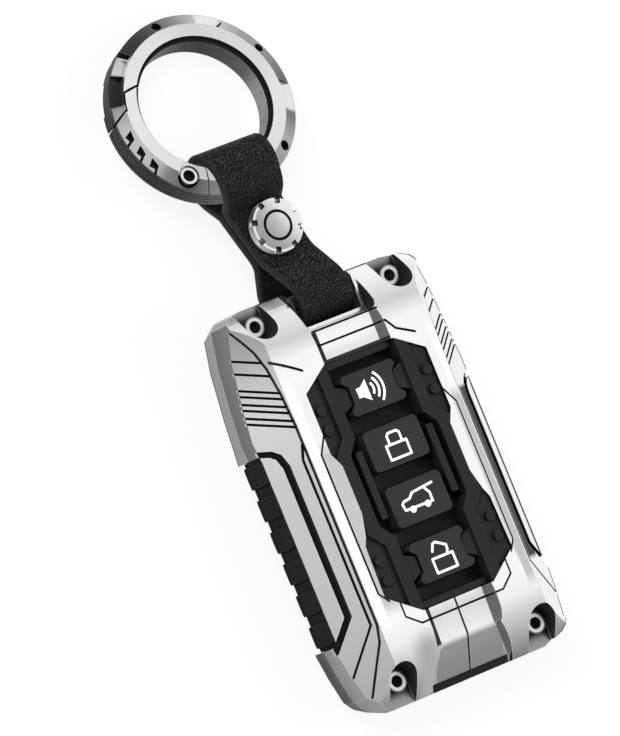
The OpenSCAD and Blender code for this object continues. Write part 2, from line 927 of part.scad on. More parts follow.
module icon_shape(i) {
    u = icon_u;
    if (i == 0) {
        polygon([
            [-3.9 * u, 1.05 * u], [-2.9 * u, 1.05 * u], [-1.25 * u, 2.3 * u], [-1.25 * u, -2.3 * u],
            [-2.9 * u, -1.05 * u], [-3.9 * u, -1.05 * u]
        ]);
        for (k = [0:2])
            arc_stroke([-1.9 * u, 0], (1.9 + 1.15 * k) * u, -38 - 4 * k, 38 + 4 * k, stroke);
    }
    if (i == 1) {
        lock_body(-2.9 * u);
        h = 2.5 * u;
        stroke_path([
            [-1.5 * u, 0.1 * u], [-1.5 * u, h - 0.5 * u], [-u, h], [u, h], [1.5 * u, h - 0.5 * u], [1.5 * u, 0.1 * u]
        ], stroke);
    }
    if (i == 2) {
        stroke_path([
            [2.8 * u, -1.3 * u], [-3.8 * u, -1.2 * u], [-4.05 * u, 0.1 * u], [-3.5 * u, 0.6 * u], [-2 * u, 0.8 * u],
            [-1 * u, 1.75 * u], [4 * u, 2.25 * u]
        ], stroke);
        stroke_line([1.8 * u, 2 * u], [2.8 * u, 0.5 * u], stroke);
        stroke_line([2.8 * u, 0.5 * u], [2.75 * u, -1.25 * u], stroke);
        for (x = [-2.1 * u, 1.5 * u])
            translate([x, -1.5 * u]) circle(0.72 * u);
    }
    if (i == 3) {
        lock_body(-3.2 * u);
        stroke_path([
            [-1.8 * u, 1.3 * u], [-1.1 * u, 2.7 * u], [-0.5 * u, 2.9 * u], [1.7 * u, 1.6 * u], [1.6 * u, 0.6 * u],
            [1.3 * u, 0.1 * u]
        ], stroke);
    }
}

// Grips

// Cross section of a grip or a block: widest at its crease, slanting in to its top and to its foot
module grip_section(w, h) {
    polygon([
        [0, 0], [w - grip_foot_in, 0], [w, grip_crease_share * h], [w - grip_top_in, h], [0, h]
    ]);
}

// One block with rounded corners seen from the side
module grip_block(w, l, h, r) {
    intersection() {
        rotate([0, -90, 0])
            translate([h / 2, 0, -w])
                linear_extrude(w) pad(h, l, r);
        along_y(-l, l) grip_section(w, h);
    }
}

module grip() color([0.12, 0.12, 0.12]) {
    h = grip_z1 - grip_z0;
    translate([grip_in_x + seat_gap, grip_mid, grip_z0])
        along_y(-grip_span / 2, grip_span / 2) grip_section(grip_root_t, h);
    for (i = [0:grip_count - 1])
        translate([grip_in_x + seat_gap, grip_mid + ((grip_count - 1) / 2 - i) * grip_pitch, grip_z0])
            grip_block(grip_root_t + grip_proud, grip_block_len, h, grip_round);
}

// Fasteners

module hex_socket(d, depth) {
    translate([0, 0, -depth]) cylinder(d = d, h = depth + over, $fn = 6);
}

module cover_screws() color("lightgray")
    for (p = screw_places)
        translate([p[0], p[1], 0])
            difference() {
                union() {
                    translate([0, 0, head_z - head_h]) cylinder(d = screw_head_d, h = head_h);
                    translate([0, 0, screw_tip_z]) cylinder(d = screw_d, h = head_z - head_h - screw_tip_z);
                }
                translate([0, 0, head_z]) hex_socket(socket_d, socket_depth);
            }

module strap_bar() color("silver")
    translate([-ear_x0 - ear_t, bar_y, bar_z])
        rotate([0, 90, 0])
            cylinder(d = bar_d, h = 2 * (ear_x0 + ear_t));

// Bright lip round the strap's slot, resting on the mouth's ledge
module slot_frame() color("white")
    translate([0, 0, mouth_z])
        linear_extrude(frame_h)
            difference() {
                intersection() {
                    mouth_plan(frame_in_w + 2 * frame_wall, slot_y - frame_wall, frame_round);
                    translate([-side_x, -end_y]) square([body_w, end_y + frame_top]);
                }
                mouth_plan(frame_in_w, slot_y, frame_round / 2);
            }

// Strap

// An S bend: an arc about one centre, the straight that touches both arcs, and an arc about the other.
// It runs along Y; side is 1 where the second arc bulges up and -1 where it bulges down.
function s_bend(c0, r0, c1, r1, side, n) =
    let (
        d = c1 - c0,
        turn = atan2(side * d[1], d[0]) + asin((r0 + r1) / norm(d))
    ) concat(
        [for (i = [0:n]) c0 + r0 * [sin(turn * i / n), -side * cos(turn * i / n)]],
        [for (i = [n:-1:0]) c1 + r1 * [-sin(turn * i / n), side * cos(turn * i / n)]]
    );

// One leaf of the strap from the bar's loop to the ring's fold, on the front side (1) or the back side (-1).
// The bend beside the bar is drawn back to front, so it is turned round.
function turned(points, c) = [for (i = [len(points) - 1:-1:0]) [2 * c - points[i][0], points[i][1]]];
function leaf(side) = concat(
    turned(s_bend(
        [2 * stud_y - (stud_y - pinch_near), stud_z + side * (pinch_h + near_bend)], near_bend,
        [2 * stud_y - loop_end_y, bar_z + side * (loop_bar_h - near_bend)], near_bend, side, 8
    ), stud_y),
    s_bend(
        [stud_y + pinch_far, stud_z + side * (pinch_h + far_bend)], far_bend,
        [fold_y, fold_z], loop_fold_r, side, 8
    )
);
function backwards(points) = [for (i = [len(points) - 1:-1:0]) points[i]];

fold_step = 12;

// Closed middle line of the strap in Y and Z, starting on the near side of the bar's loop
loop_mid_y = loop_start_y + loop_corner;
strap_path = concat(
    arc_points([loop_mid_y, bar_z + loop_bar_h - loop_corner], loop_corner, 180, 90, 6),
    leaf(1),
    arc_points([fold_y, fold_z], loop_fold_r, 90 - fold_step, fold_step - 90, 12),
    backwards(leaf(-1)),
    arc_points([loop_mid_y, bar_z - loop_bar_h + loop_corner], loop_corner, 270, 180, 6)
);
function path_normal(path, i) =
    let (n = len(path), d = path[(i + 1) % n] - path[(i + n - 1) % n]) [-d[1], d[0]] / norm(d);
function path_offset(path, h) = [for (i = [0:len(path) - 1]) path[i] + h * path_normal(path, i)];

// Sideways lie and half width of the strap along its length
function strap_x(y) =
    let (t = min(1, max(0, (y - end_y + strap_t) / (fold_y - end_y)))) fold_x * (2 * t + ease(t)) / 3;
function strap_half(y) = (strap_bar_w + (strap_fold_w - strap_bar_w) * pow(max(0, (y - bar_y) / (fold_y - bar_y)), 2)) / 2;
side_steps = 24;
function side_y(i) = loop_start_y - over + (fold_y + 2 * loop_fold_r - loop_start_y + over) * i / side_steps;

module strap() color([0.13, 0.13, 0.13])
    difference() {
        intersection() {
            translate([fold_x, 0, 0])
                along_x(2 * channel_w + body_w)
                    difference() {
                        polygon(path_offset(strap_path, strap_t / 2));
                        polygon(path_offset(strap_path, -strap_t / 2));
                    }
            translate([0, 0, -over])
                linear_extrude(2 * body_h)
                    polygon(concat(
                        [for (i = [0:side_steps]) [strap_x(side_y(i)) + strap_half(side_y(i)), side_y(i)]],
                        [for (i = [side_steps:-1:0]) [strap_x(side_y(i)) - strap_half(side_y(i)), side_y(i)]]
                    ));
        }
        translate([stud_x, stud_y, 0]) cylinder(d = post_d + part_gap, h = body_h);
    }

stud_seat = stud_z + pinch_h + strap_t / 2;
stud_under = stud_z - pinch_h - strap_t / 2;

// Notched head that the fingers turn
module strap_stud_head() color("silver")
    translate([stud_x, stud_y, stud_seat + stud_hub_h + run_gap])
        difference() {
            union() {
                cylinder(d = stud_d, h = stud_h);
                translate([0, 0, -stud_hub_h]) cylinder(d = stud_hub_d, h = stud_hub_h + fit_gap);
            }
            translate([0, 0, -over]) cylinder(d = post_d + part_gap, h = body_h);
            translate([0, 0, stud_h - groove_d])
                cylinder(d = cap_d + 2 * groove_w, h = body_h);
            for (k = [0:notch_count - 1])
                rotate(360 / notch_count * (k + 0.5))
                    translate([stud_d / 2 - notch_d, -notch_w / 2, stud_h / 3])
                        cube([stud_d, notch_w, stud_h]);
        }

module strap_stud_post() color("silver")
    translate([stud_x, stud_y, 0]) {
        translate([0, 0, stud_under - post_head_h - run_gap]) cylinder(d = post_head_d, h = post_head_h);
        cap_z = stud_seat + stud_hub_h + run_gap + stud_h - groove_d + fit_gap;
        translate([0, 0, stud_under - run_gap]) cylinder(d = post_d, h = cap_z - stud_under + run_gap);
        translate([0, 0, cap_z]) cylinder(d = cap_d, h = groove_d);
    }

// Ring, drawn about its own centre and then laid in place

module place_ring() {
    translate([ring_x, ring_y, ring_z])
        rotate([-ring_tilt, 0, 0]) children();
}

// Cross section: a lip at each inner edge, a level band, and slopes down to the outer rim
module ring_section(r0, r1) {
    lip_z = ring_t / 2 - lip_d;
    intersection() {
        polygon([
            [ring_r0, -lip_z], [lip_r, -lip_z], [lip_r, -ring_t / 2], [band_r, -ring_t / 2], [ring_r1, -rim_t / 2],
            [ring_r1, rim_t / 2], [band_r, ring_t / 2], [lip_r, ring_t / 2], [lip_r, lip_z], [ring_r0, lip_z]
        ]);
        translate([r0, -ring_t]) square([r1 - r0, 2 * ring_t]);
    }
}

module ring_blank(r0, r1) {
    rotate_extrude($fn = 96) ring_section(r0, r1);
}

// Fine lines round the outer wall
module rim_lines() {
    rotate_extrude($fn = 96)
        for (i = [0:line_count - 1])
            translate([ring_r1 - line_cut, (i - (line_count - 1) / 2) * line_pitch - line_cut / 2])
                square([over, line_cut]);
}

pivot = ring_point(pivot_r, pivot_angle);

// A point beside the pivot: a outwards from the ring's centre, b along the ring beyond the pivot
function beside(a, b) = pivot + a * ring_point(1, pivot_angle) + b * ring_point(1, pivot_angle + 90);
function hinge_face(a, gap) = beside(a, hinge_b + hinge_slope * a - gap);

// Plan of the gate's outer part, from the slanted hinge end to the split; the gap pulls both ends back
module gate_outer_block(gap) {
    da = gap / pivot_r * 180 / PI;
    far = 2 * ring_r1;
    a0 = tip_out_angle + da;
    a1 = tip_mid_angle + da;
    lean = (a0 - a1) / (ring_r1 - band_r) * over;
    linear_extrude(2 * ring_t, center = true)
        polygon(concat(
            [hinge_face(-band_w - over, gap), hinge_face(ring_r1, gap)],
            [for (a = [pivot_angle - 15:-15:a0 + 12]) ring_point(far, a)],
            [ring_point(ring_r1 + over, a0 + lean), ring_point(ring_r1, a0), ring_point(band_r, a1), ring_point(band_r / 2, a1)]
        ));
}

// Plan of the gate's inner band, which reaches further round at the split; with a gap, its hinge corner is cut back
module gate_band_block(gap) {
    da = gap / pivot_r * 180 / PI;
    a0 = band_out_angle + da;
    a1 = band_in_angle + da;
    lean = (a0 - a1) / (band_r - ring_r0) * over;
    corner = gap > 0
        ? [beside(hinge_in_a - ring_r0 / 2, 0), beside(hinge_in_a - lip_w - over, hinge_back), hinge_face(hinge_in_a, gap)]
        : [hinge_face(-ring_r0 / 2, 0)];
    linear_extrude(2 * ring_t, center = true)
        polygon(concat(
            corner, [hinge_face(over, gap)],
            [for (a = [pivot_angle:-15:a0 + 4]) ring_point(band_r + over, a)],
            [
                ring_point(band_r + over, a0 + lean), ring_point(band_r, a0), ring_point(ring_r0, a1),
                ring_point(ring_r0 - over, a1 - lean), ring_point(ring_r0 / 2, a1 + 10)
            ]
        ));
}

// The fixed tongue on which the gate turns
module tongue_plan(gap) {
    polygon([
        beside(-tongue_half - gap, 0), beside(tongue_half + gap, 0), beside(tongue_half * 0.8 + gap, hinge_b),
        beside(tongue_half * 0.4 + gap, hinge_b * 1.5), beside(-tongue_half * 1.4 - gap, hinge_b * 1.5),
        beside(-tongue_half * 1.2 - gap, hinge_b * 0.6)
    ]);
    translate(pivot) circle(tongue_end_r + gap);
}

// Slot in the gate's hinge end that the tongue fills; it is open towards the ring's centre
module gate_fork() {
    linear_extrude(tongue_t + 2 * part_gap, center = true) {
        polygon([
            beside(-band_w - over, 0), beside(tongue_half + part_gap, 0), beside(tongue_half + part_gap, 2 * hinge_b),
            beside(-band_w - over, 2 * hinge_b)
        ]);
        translate(pivot) circle(tongue_end_r + part_gap);
    }
}

module pivot_room() {
    translate(pivot) {
        cylinder(d = pivot_pin_d + 2 * run_gap, h = 2 * ring_t, center = true);
        translate([0, 0, ring_t / 2 - pivot_head_h - pivot_sink - run_gap]) cylinder(d = pocket_d, h = ring_t);
    }
}

// Sunk windows and ticks on the sloping outer face: start and end angle, and depth as a share of the rim's drop
window_shares = [[125, 129, 1.6], [130, 141, 0.7], [142, 163, 1.5], [53, 67, 0.7], [-24, -6, 0.7]];
window_in = 0.35;
tick_angles = [51, -5];

module window_cuts() {
    for (w = window_shares, side = [0, 1])
        mirror([0, 0, side])
            translate([0, 0, ring_t / 2 - w[2] * rim_drop])
                linear_extrude(ring_t)
                    polygon(concat(
                        [for (k = [0:4]) ring_point(band_r + window_in, w[0] + (w[1] - w[0]) * k / 4)],
                        [for (k = [4:-1:0]) ring_point(ring_r1 + over, w[0] + (w[1] - w[0]) * k / 4)]
                    ));
    for (a = tick_angles)
        translate([0, 0, rim_t / 2])
            linear_extrude(ring_t)
                stroke_line(ring_point(band_r, a + 2), ring_point(ring_r1, a - 2), line_w);
}

module ring_body() color([0.5, 0.51, 0.52])
    place_ring()
        difference() {
            ring_blank(band_r + fit_gap, ring_r1);
            gate_outer_block(0);
            linear_extrude(tongue_t + 2 * fit_gap, center = true) tongue_plan(fit_gap);
            window_cuts();
            rim_lines();
            for (a = screw_angles)
                translate(ring_point(ring_screw_r, a)) cylinder(d = ring_screw_d + 2 * fit_gap, h = 2 * ring_t, center = true);
        }

module ring_band() color("whitesmoke")
    place_ring() {
        difference() {
            ring_blank(ring_r0, band_r);
            gate_band_block(0);
        }
        difference() {
            linear_extrude(tongue_t, center = true) tongue_plan(0);
            translate(pivot) cylinder(d = spring_d + 2 * run_gap, h = ring_t, center = true);
        }
    }

socket_share = 0.6;

module ring_screws() color([0.1, 0.1, 0.1])
    place_ring()
        for (a = screw_angles)
            translate(ring_point(ring_screw_r, a))
                difference() {
                    cylinder(d = ring_screw_d, h = rim_t, center = true);
                    translate([0, 0, rim_t / 2]) hex_socket(ring_screw_d * socket_share, ring_screw_d / 3);
                }

// Three stepped slots that run down the gate's sloping face to its rim
bolt_angles = [184, 195.5, 206.5];
bolt_r = 18.75;
bolt_d = 1.9;
bolt_u = 1;

module bolt_cut() {
    u = bolt_u;
    polygon([
        [-0.75 * u, -1.1 * u], [0.75 * u, -0.45 * u], [0.5 * u, 0.75 * u], [2.6 * u, 2 * u], [2.6 * u, 2.6 * u],
        [0.2 * u, 1.25 * u], [-0.45 * u, 0.95 * u]
    ]);
}

module ring_gate() color([0.56, 0.57, 0.58])
    place_ring()
        difference() {
            intersection() {
                ring_blank(band_r + fit_gap, ring_r1);
                gate_outer_block(split_gap);
            }
            gate_fork();
            pivot_room();
            rim_lines();
            for (a = bolt_angles)
                rotate(a)
                    translate([bolt_r, 0, ring_t / 2 - bolt_d])
                        linear_extrude(ring_t) bolt_cut();
        }

// The gate's band; it is eased where it reaches past the gate under the fixed rim
module gate_band() color("whitesmoke")
    place_ring()
        difference() {
            intersection() {
                ring_blank(ring_r0, band_r);
                gate_band_block(split_gap);
            }
            gate_fork();
            pivot_room();
            linear_extrude(2 * ring_t, center = true)
                difference() {
                    polygon([
                        ring_point(ring_r0, tip_mid_angle), ring_point(2 * ring_r0, tip_mid_angle + 4),
                        ring_point(2 * ring_r0, band_in_angle - 10), ring_point(ring_r0, band_in_angle - 10)
                    ]);
                    circle(band_r - split_gap, $fn = 96);
                }
        }

module gate_pin() color("lightgray")
    place_ring()
        translate(pivot) {
            head_top = ring_t / 2 - pivot_sink;
            difference() {
                union() {
                    translate([0, 0, pivot_head_h - ring_t / 2]) cylinder(d = pivot_pin_d, h = head_top - 2 * pivot_head_h + ring_t / 2 + fit_gap);
                    translate([0, 0, head_top - pivot_head_h]) cylinder(d = pivot_head_d, h = pivot_head_h);
                }
                translate([0, 0, head_top - pivot_hole_h]) cylinder(d = pivot_hole_d, h = pivot_hole_h + over);
            }
        }

// Close-wound spring round the hinge screw that swings the gate shut
module gate_spring() color("dimgray")
    place_ring()
        translate(pivot)
            rotate_extrude()
                for (i = [0:spring_turns - 1])
                    translate([(spring_d - spring_wire) / 2, (i - (spring_turns - 1) / 2) * spring_wire * 0.92])
                        circle(d = spring_wire, $fn = 16);

rear_cover();
front_shell();
key_liner();
button_panel();
keypad_mat();
key(0);  // button_alarm
key(1);  // button_lock
key(2);  // button_tailgate
key(3);  // button_unlock
icon(0);  // icon_alarm
icon(1);  // icon_lock
icon(2);  // icon_tailgate
icon(3);  // icon_unlock
grip();  // grip_right
mirror([1, 0, 0]) grip();  // grip_left
cover_screws();
strap_bar();
slot_frame();
strap();
strap_stud_head();
strap_stud_post();
ring_body();
ring_band();
ring_screws();
gate_pin();
gate_spring();
ring_gate();
gate_band();
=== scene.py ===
"""Looks of the key fob cover: finishes, leather strap, lamps, backdrop and the camera of the photograph.

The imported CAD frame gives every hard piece. This script gives each piece its finish, replaces the plain
CAD strap with a leather one, closes the gate's split with a small tongue, and sets up the picture.
"""
import json
import logging
import math
from dataclasses import dataclass, field, replace
from enum import Enum
from typing import Callable, Dict, List, Optional, Sequence, Tuple, Union

import bpy
from mathutils import Matrix, Vector


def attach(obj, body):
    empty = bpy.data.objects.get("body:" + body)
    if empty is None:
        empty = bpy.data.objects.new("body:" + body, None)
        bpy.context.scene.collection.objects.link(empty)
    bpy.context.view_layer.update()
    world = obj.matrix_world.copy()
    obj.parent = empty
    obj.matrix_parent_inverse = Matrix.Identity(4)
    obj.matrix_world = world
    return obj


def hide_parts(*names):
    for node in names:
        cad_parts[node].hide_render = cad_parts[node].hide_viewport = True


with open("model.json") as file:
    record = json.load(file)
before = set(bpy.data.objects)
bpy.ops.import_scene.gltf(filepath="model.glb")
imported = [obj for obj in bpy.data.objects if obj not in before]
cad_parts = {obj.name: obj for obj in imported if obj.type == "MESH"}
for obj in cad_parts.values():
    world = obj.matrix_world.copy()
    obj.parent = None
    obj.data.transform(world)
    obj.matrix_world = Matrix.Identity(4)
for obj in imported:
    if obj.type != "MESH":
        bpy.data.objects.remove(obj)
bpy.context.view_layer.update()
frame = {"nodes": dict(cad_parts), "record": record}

log = logging.getLogger("key_cover")
logging.basicConfig(level=logging.INFO, format="%(name)s: %(message)s")

MM = 0.001
Colour = Tuple[float, float, float]
Point = Tuple[float, float, float]
Flat = Tuple[float, float]
Stops = Sequence[Flat]
Limits = Tuple[Optional[float], ...]
Socket = bpy.types.NodeSocket
BLACK: Colour = (0.0, 0.0, 0.0)
WHITE: Colour = (1.0, 1.0, 1.0)
# Softness of a limit, from sharp to wide, in millimetres, degrees or parts of a direction
HAIR, THIN, FINE, CRISP, SOFT, WIDE = 0.02, 0.03, 0.04, 0.05, 0.1, 0.3
BEVEL_SAMPLES = 4
HOLLOW_SAMPLES = 6
# Agreement of the rounded and the plain direction, off an edge and on it
EDGE_TURN: Flat = (0.985, 0.9)


class Slot(Enum):
    """Material slots of the record."""

    SHELL = "shell_metal"
    REAR = "rear_metal"
    LINER = "liner_rubber"
    PANEL = "panel_plastic"
    KEY = "key_plastic"
    ICON = "icon_light"
    GRIP = "grip_rubber"
    SCREW = "screw_steel"
    TRIM = "trim_bright"
    LEATHER = "leather"
    STUD = "stud_steel"
    RING = "ring_steel"
    BAND = "band_bright"
    BLACK_SCREW = "screw_black"


class Paint(Enum):
    """How the painted light and shade of a metal go over a piece."""

    PLAIN = "plain"
    SHELL = "shell"
    REAR = "rear"
    RING = "ring"
    BAND = "band"
    STUD = "stud"
    SCREW = "screw"
    TRIM = "trim"


@dataclass(frozen=True)
class MetalFinish:
    """A metal surface.

    Attributes:
        colour: Linear base colour where the tone is 1.
        roughness: Middle roughness.
        spread: How far the roughness wanders about its middle.
        grain: Size of the fine grain, in millimetres.
        grain_depth: Depth of the grain, in millimetres.
        edge: Radius of the softened edges, in millimetres.
        paint: How its painted light and shade go over the piece.
        cloud: Size of the patches of like roughness, in millimetres.
        edge_highlight: How much lighter the painted highlight on an edge is than the face beside it.
        edge_highlight_share: How much of that painted highlight an edge gets.
        bare_from: Tones between which it goes from black painted shade to bare metal.
        grazing: Level of the grazing reflection at tone 0, and how much it grows up to tone 1.
        black_matt: How much rougher the places of black painted shade are.
        sheen: Level of the reflection of what is not bare metal.
    """

    colour: Colour
    roughness: float
    spread: float = 0.05
    grain: float = 0.12
    grain_depth: float = 0.002
    edge: float = 0.18
    paint: Paint = Paint.PLAIN
    cloud: float = 9.0
    edge_highlight: float = 0.4
    edge_highlight_share: float = 0.8
    bare_from: Flat = (0.02, 0.07)
    grazing: Flat = (0.48, 0.58)
    black_matt: float = 0.35
    sheen: float = 0.08


@dataclass(frozen=True)
class PolymerFinish:
    """A plastic or rubber surface.

    Attributes:
        colour: Linear base colour.
        roughness: Middle roughness.
        grain: Size of the surface grain, in millimetres.
        grain_depth: Depth of the grain, in millimetres.
        edge: Radius of the softened edges, in millimetres.
        sheen: Level of the reflection at right angles.
        rim: How much lighter an edge is with its painted highlight, as a factor.
        rim_highlight_share: How much of that painted highlight an edge gets.
        hollow: Reach of the shade in hollows, in millimetres; 0 for none.
        cloud: Size of the handling marks, in millimetres.
        cloud_light: Colour of the marks, as a factor.
        cloud_share: How strong the marks are at most.
        spread: How far the roughness wanders about its middle.
        open_from: Openness between which a hollow goes from dark to plain.
        deep: Share of the colour that is left deep in a hollow.
    """

    colour: Colour
    roughness: float
    grain: float = 0.1
    grain_depth: float = 0.004
    edge: float = 0.15
    sheen: float = 0.25
    rim: float = 1.0
    rim_highlight_share: float = 0.8
    hollow: float = 0.0
    cloud: float = 6.0
    cloud_light: float = 1.25
    cloud_share: float = 0.6
    spread: float = 0.05
    open_from: Flat = (0.12, 0.72)
    deep: float = 0.1


@dataclass(frozen=True)
class LeatherFinish:
    """Black grained leather: its face and its painted cut edge.

    Attributes:
        colour: Linear colour of the face.
        valley: Colour away from the painted highlight, between the pebbles, as a factor.
        light: Colour of the painted highlight on the lit side of a pebble, as a factor.
        edge_colour: Linear colour of the cut edge.
        edge_light: Lightest colour of the cut edge, as a factor.
        edge_roughness: Least and greatest roughness of the cut edge.
        roughness: Roughness of the face.
        pebble: Size of the pebbles, in millimetres.
        pebble_depth: Depth of the relief, in millimetres.
        pore: Size of the pores, in millimetres.
        crease: Size of the creases, in millimetres.
        heights: Shares of pebbles, pores and creases in the relief.
        bent: How far the rows of pebbles are bent, in millimetres.
        bends: Bends per millimetre.
        raking: Offset towards the painted raking light, in millimetres.
        raked: Strength of the painted raking light.
        sharp: Power that narrows the painted highlight on a pebble.
        sheen: Level of the reflection in the valleys, and how much it grows under the painted highlight on
            the pebbles.
    """

    colour: Colour = (0.0105, 0.0103, 0.0103)
    valley: float = 0.55
    light: float = 3.5
    edge_colour: Colour = (0.0095, 0.0093, 0.0095)
    edge_light: float = 1.6
    edge_roughness: Flat = (0.55, 0.7)
    roughness: float = 0.5
    pebble: float = 0.36
    pebble_depth: float = 0.11
    pore: float = 0.16
    crease: float = 1.5
    heights: Point = (0.6, 0.18, 0.5)
    bent: Point = (0.5, 0.5, 0.5)
    bends: float = 1.4
    raking: Point = (0.06, -0.13, -0.04)
    raked: float = 2.6
    sharp: float = 1.6
    sheen: Flat = (0.03, 0.3)


Finish = Union[MetalFinish, PolymerFinish, LeatherFinish]
FINISHES: Dict[Slot, Finish] = {
    Slot.SHELL: MetalFinish((1.0, 0.996, 0.996), 0.3, grain=0.1, grain_depth=0.0016, edge=0.2,
                            paint=Paint.SHELL),
    Slot.REAR: MetalFinish((1.0, 0.995, 0.995), 0.36, grain=0.1, edge=0.2, paint=Paint.REAR),
    Slot.LINER: PolymerFinish((0.01, 0.01, 0.011), 0.7, sheen=0.1),
    Slot.PANEL: PolymerFinish((0.014, 0.0147, 0.0158), 0.42, grain=0.09, edge=0.14, sheen=0.12, rim=3.2,
                              hollow=3.0),
    Slot.KEY: PolymerFinish((0.0205, 0.0212, 0.023), 0.42, grain=0.09, edge=0.16, sheen=0.15, rim=2.4,
                            hollow=2.0),
    Slot.ICON: PolymerFinish((0.86, 0.87, 0.87), 0.5, edge=0.02),
    Slot.GRIP: PolymerFinish((0.0165, 0.0165, 0.017), 0.62, grain=0.16, grain_depth=0.01, edge=0.24,
                             sheen=0.0, rim=2.6, hollow=2.0),
    Slot.SCREW: MetalFinish(WHITE, 0.26, edge=0.06, paint=Paint.SCREW),
    Slot.TRIM: MetalFinish(WHITE, 0.16, spread=0.02, edge=0.06, paint=Paint.TRIM),
    Slot.LEATHER: LeatherFinish(),
    Slot.STUD: MetalFinish((0.92, 0.92, 0.925), 0.25, edge=0.14, paint=Paint.STUD),
    Slot.RING: MetalFinish((1.0, 0.997, 0.997), 0.27, grain=0.08, grain_depth=0.0014, edge=0.12,
                           paint=Paint.RING),
    Slot.BAND: MetalFinish((1.0, 0.996, 0.997), 0.17, spread=0.03, edge=0.12, paint=Paint.BAND),
    Slot.BLACK_SCREW: MetalFinish((0.012, 0.012, 0.013), 0.4, edge=0.06),
}


class Shader:
    """A small builder of node materials.

    Attributes:
        material: The material being built.
        nodes: Its nodes.
        links: Its links.
        output: Its output node.
        surface: Its surface node.
        coords: Its node of coordinates.
    """

    def __init__(self, name: str) -> None:
        """Starts an empty material.

        Args:
            name: Name of the material.
        """
        self.material = bpy.data.materials.new(name)
        self.material.use_nodes = True
        self.nodes = self.material.node_tree.nodes
        self.links = self.material.node_tree.links
        self.nodes.clear()
        self.output = self.nodes.new("ShaderNodeOutputMaterial")
        self.surface = self.nodes.new("ShaderNodeBsdfPrincipled")
        self.links.new(self.surface.outputs["BSDF"], self.output.inputs["Surface"])
        self.coords = self.nodes.new("ShaderNodeTexCoord")

    def plug(self, socket: Socket, value: object) -> None:
        """Sets or links one input.

        Args:
            socket: The input.
            value: A value or a socket to link, or a plain number, colour or vector.
        """
        if isinstance(value, Value):
            value = value.socket
        if isinstance(value, Socket):
            self.links.new(value, socket)
        elif socket.type == "RGBA":
            socket.default_value = (*value, 1.0)
        else:
            socket.default_value = value

    def add(self, kind: str, **inputs: object) -> bpy.types.Node:
        """Adds a node and sets its inputs.

        Args:
            kind: Type name of the node.
            **inputs: What goes into each input, by its name with spaces as underscores.

        Returns:
            The new node.
        """
        node = self.nodes.new(kind)
        for key, value in inputs.items():
            self.plug(node.inputs[key.replace("_", " ")], value)
        return node

    def step(self, kind: str, operation: str, *operands: object) -> bpy.types.Node:
        """Adds a node of arithmetic.

        Args:
            kind: Type name of the node.
            operation: Name of the operation.
            *operands: What it works on.

        Returns:
            The new node.
        """
        node = self.nodes.new(kind)
        node.operation = operation
        for socket, value in zip(node.inputs, operands):
            self.plug(socket, value)
        return node

    def coat(self, **inputs: object) -> None:
        """Sets the surface.

        Args:
            **inputs: What goes into each input, by its name with spaces as underscores.
        """
        for key, value in inputs.items():
            self.plug(self.surface.inputs[key.replace("_", " ")], value)

    def split(self, socket: Socket, scale: float = 1.0) -> List["Value"]:
        """The three parts of a vector.

        Args:
            socket: Vector socket.
            scale: Factor on all three.

        Returns:
            The parts along X, Y and Z.
        """
        parts = self.add("ShaderNodeSeparateXYZ", Vector=socket).outputs
        return [Value(self, parts[axis]) * scale for axis in "XYZ"]

    def spot(self) -> "Spot":
        """The surface point being painted.

        Returns:
            The point, on the object at rest.
        """
        x, y, z = self.split(self.coords.outputs["Object"], 1.0 / MM)
        return Spot(x, y, z, abs(x), abs(y), *self.split(self.coords.outputs["Normal"]))

    def noise(self, size_mm: float, detail: float = 2.0, stretch: Point = (1.0, 1.0, 1.0),
              shift: Point = (0.0, 0.0, 0.0)) -> "Value":
        """Noise in the object's own space.

        Args:
            size_mm: Size of its features, in millimetres.
            detail: Octaves of finer noise.
            stretch: Factors on the three axes; a small one draws the features out along that axis.
            shift: Shift that makes two noises differ.

        Returns:
            The noise.
        """
        place = self.add("ShaderNodeMapping", Vector=self.coords.outputs["Object"], Location=shift,
                         Scale=tuple(s / MM for s in stretch)).outputs["Vector"]
        noise = self.add("ShaderNodeTexNoise", Vector=place, Scale=1.0 / size_mm, Detail=detail)
        return Value(self, noise.outputs["Fac"])

    def mix_colour(self, share: object, a: object, b: object) -> Socket:
        """Mixes two colours.

        Args:
            share: Value or number; 0 gives a and 1 gives b.
            a: First colour.
            b: Second colour.

        Returns:
            The mixed colour socket.
        """
        node = self.nodes.new("ShaderNodeMix")
        node.data_type = "RGBA"
        wanted = {"Factor_Float": share, "A_Color": a, "B_Color": b}
        for socket in node.inputs:
            if socket.identifier in wanted:
                self.plug(socket, wanted[socket.identifier])
        return next(socket for socket in node.outputs if socket.identifier == "Result_Color")

    def tint(self, tone: "Value", colour: Colour) -> Socket:
        """A colour made darker by a tone.

        Args:
            tone: 0 for black, 1 for the full colour.
            colour: The colour.

        Returns:
            The colour socket.
        """
        return self.mix_colour(tone.at_least(0.0).at_most(1.0), BLACK, colour)

    def relief(self, height: "Value", depth_mm: float) -> bpy.types.Node:
        """Gives the surface its fine relief.

        Args:
            height: Height from 0 to 1.
            depth_mm: Depth of the relief, in millimetres.

        Returns:
            The relief's node.
        """
        bump = self.add("ShaderNodeBump", Height=height, Strength=1.0, Distance=depth_mm * MM)
        self.coat(Normal=bump.outputs["Normal"])
        return bump

    def soft_edges(self, bump: bpy.types.Node, radius_mm: float) -> "Value":
        """Rounds the edges below a relief.

        Args:
            bump: The relief's node.
            radius_mm: Radius of the edges, in millimetres.

        Returns:
            1 on an edge and 0 away from it.
        """
        bevel = self.add("ShaderNodeBevel", Radius=radius_mm * MM)
        bevel.samples = BEVEL_SAMPLES
        rounded = bevel.outputs["Normal"]
        self.plug(bump.inputs["Normal"], rounded)
        flat = self.nodes.new("ShaderNodeNewGeometry").outputs["Normal"]
        alike = self.step("ShaderNodeVectorMath", "DOT_PRODUCT", rounded, flat).outputs["Value"]
        return Value(self, alike).ramp(*EDGE_TURN)

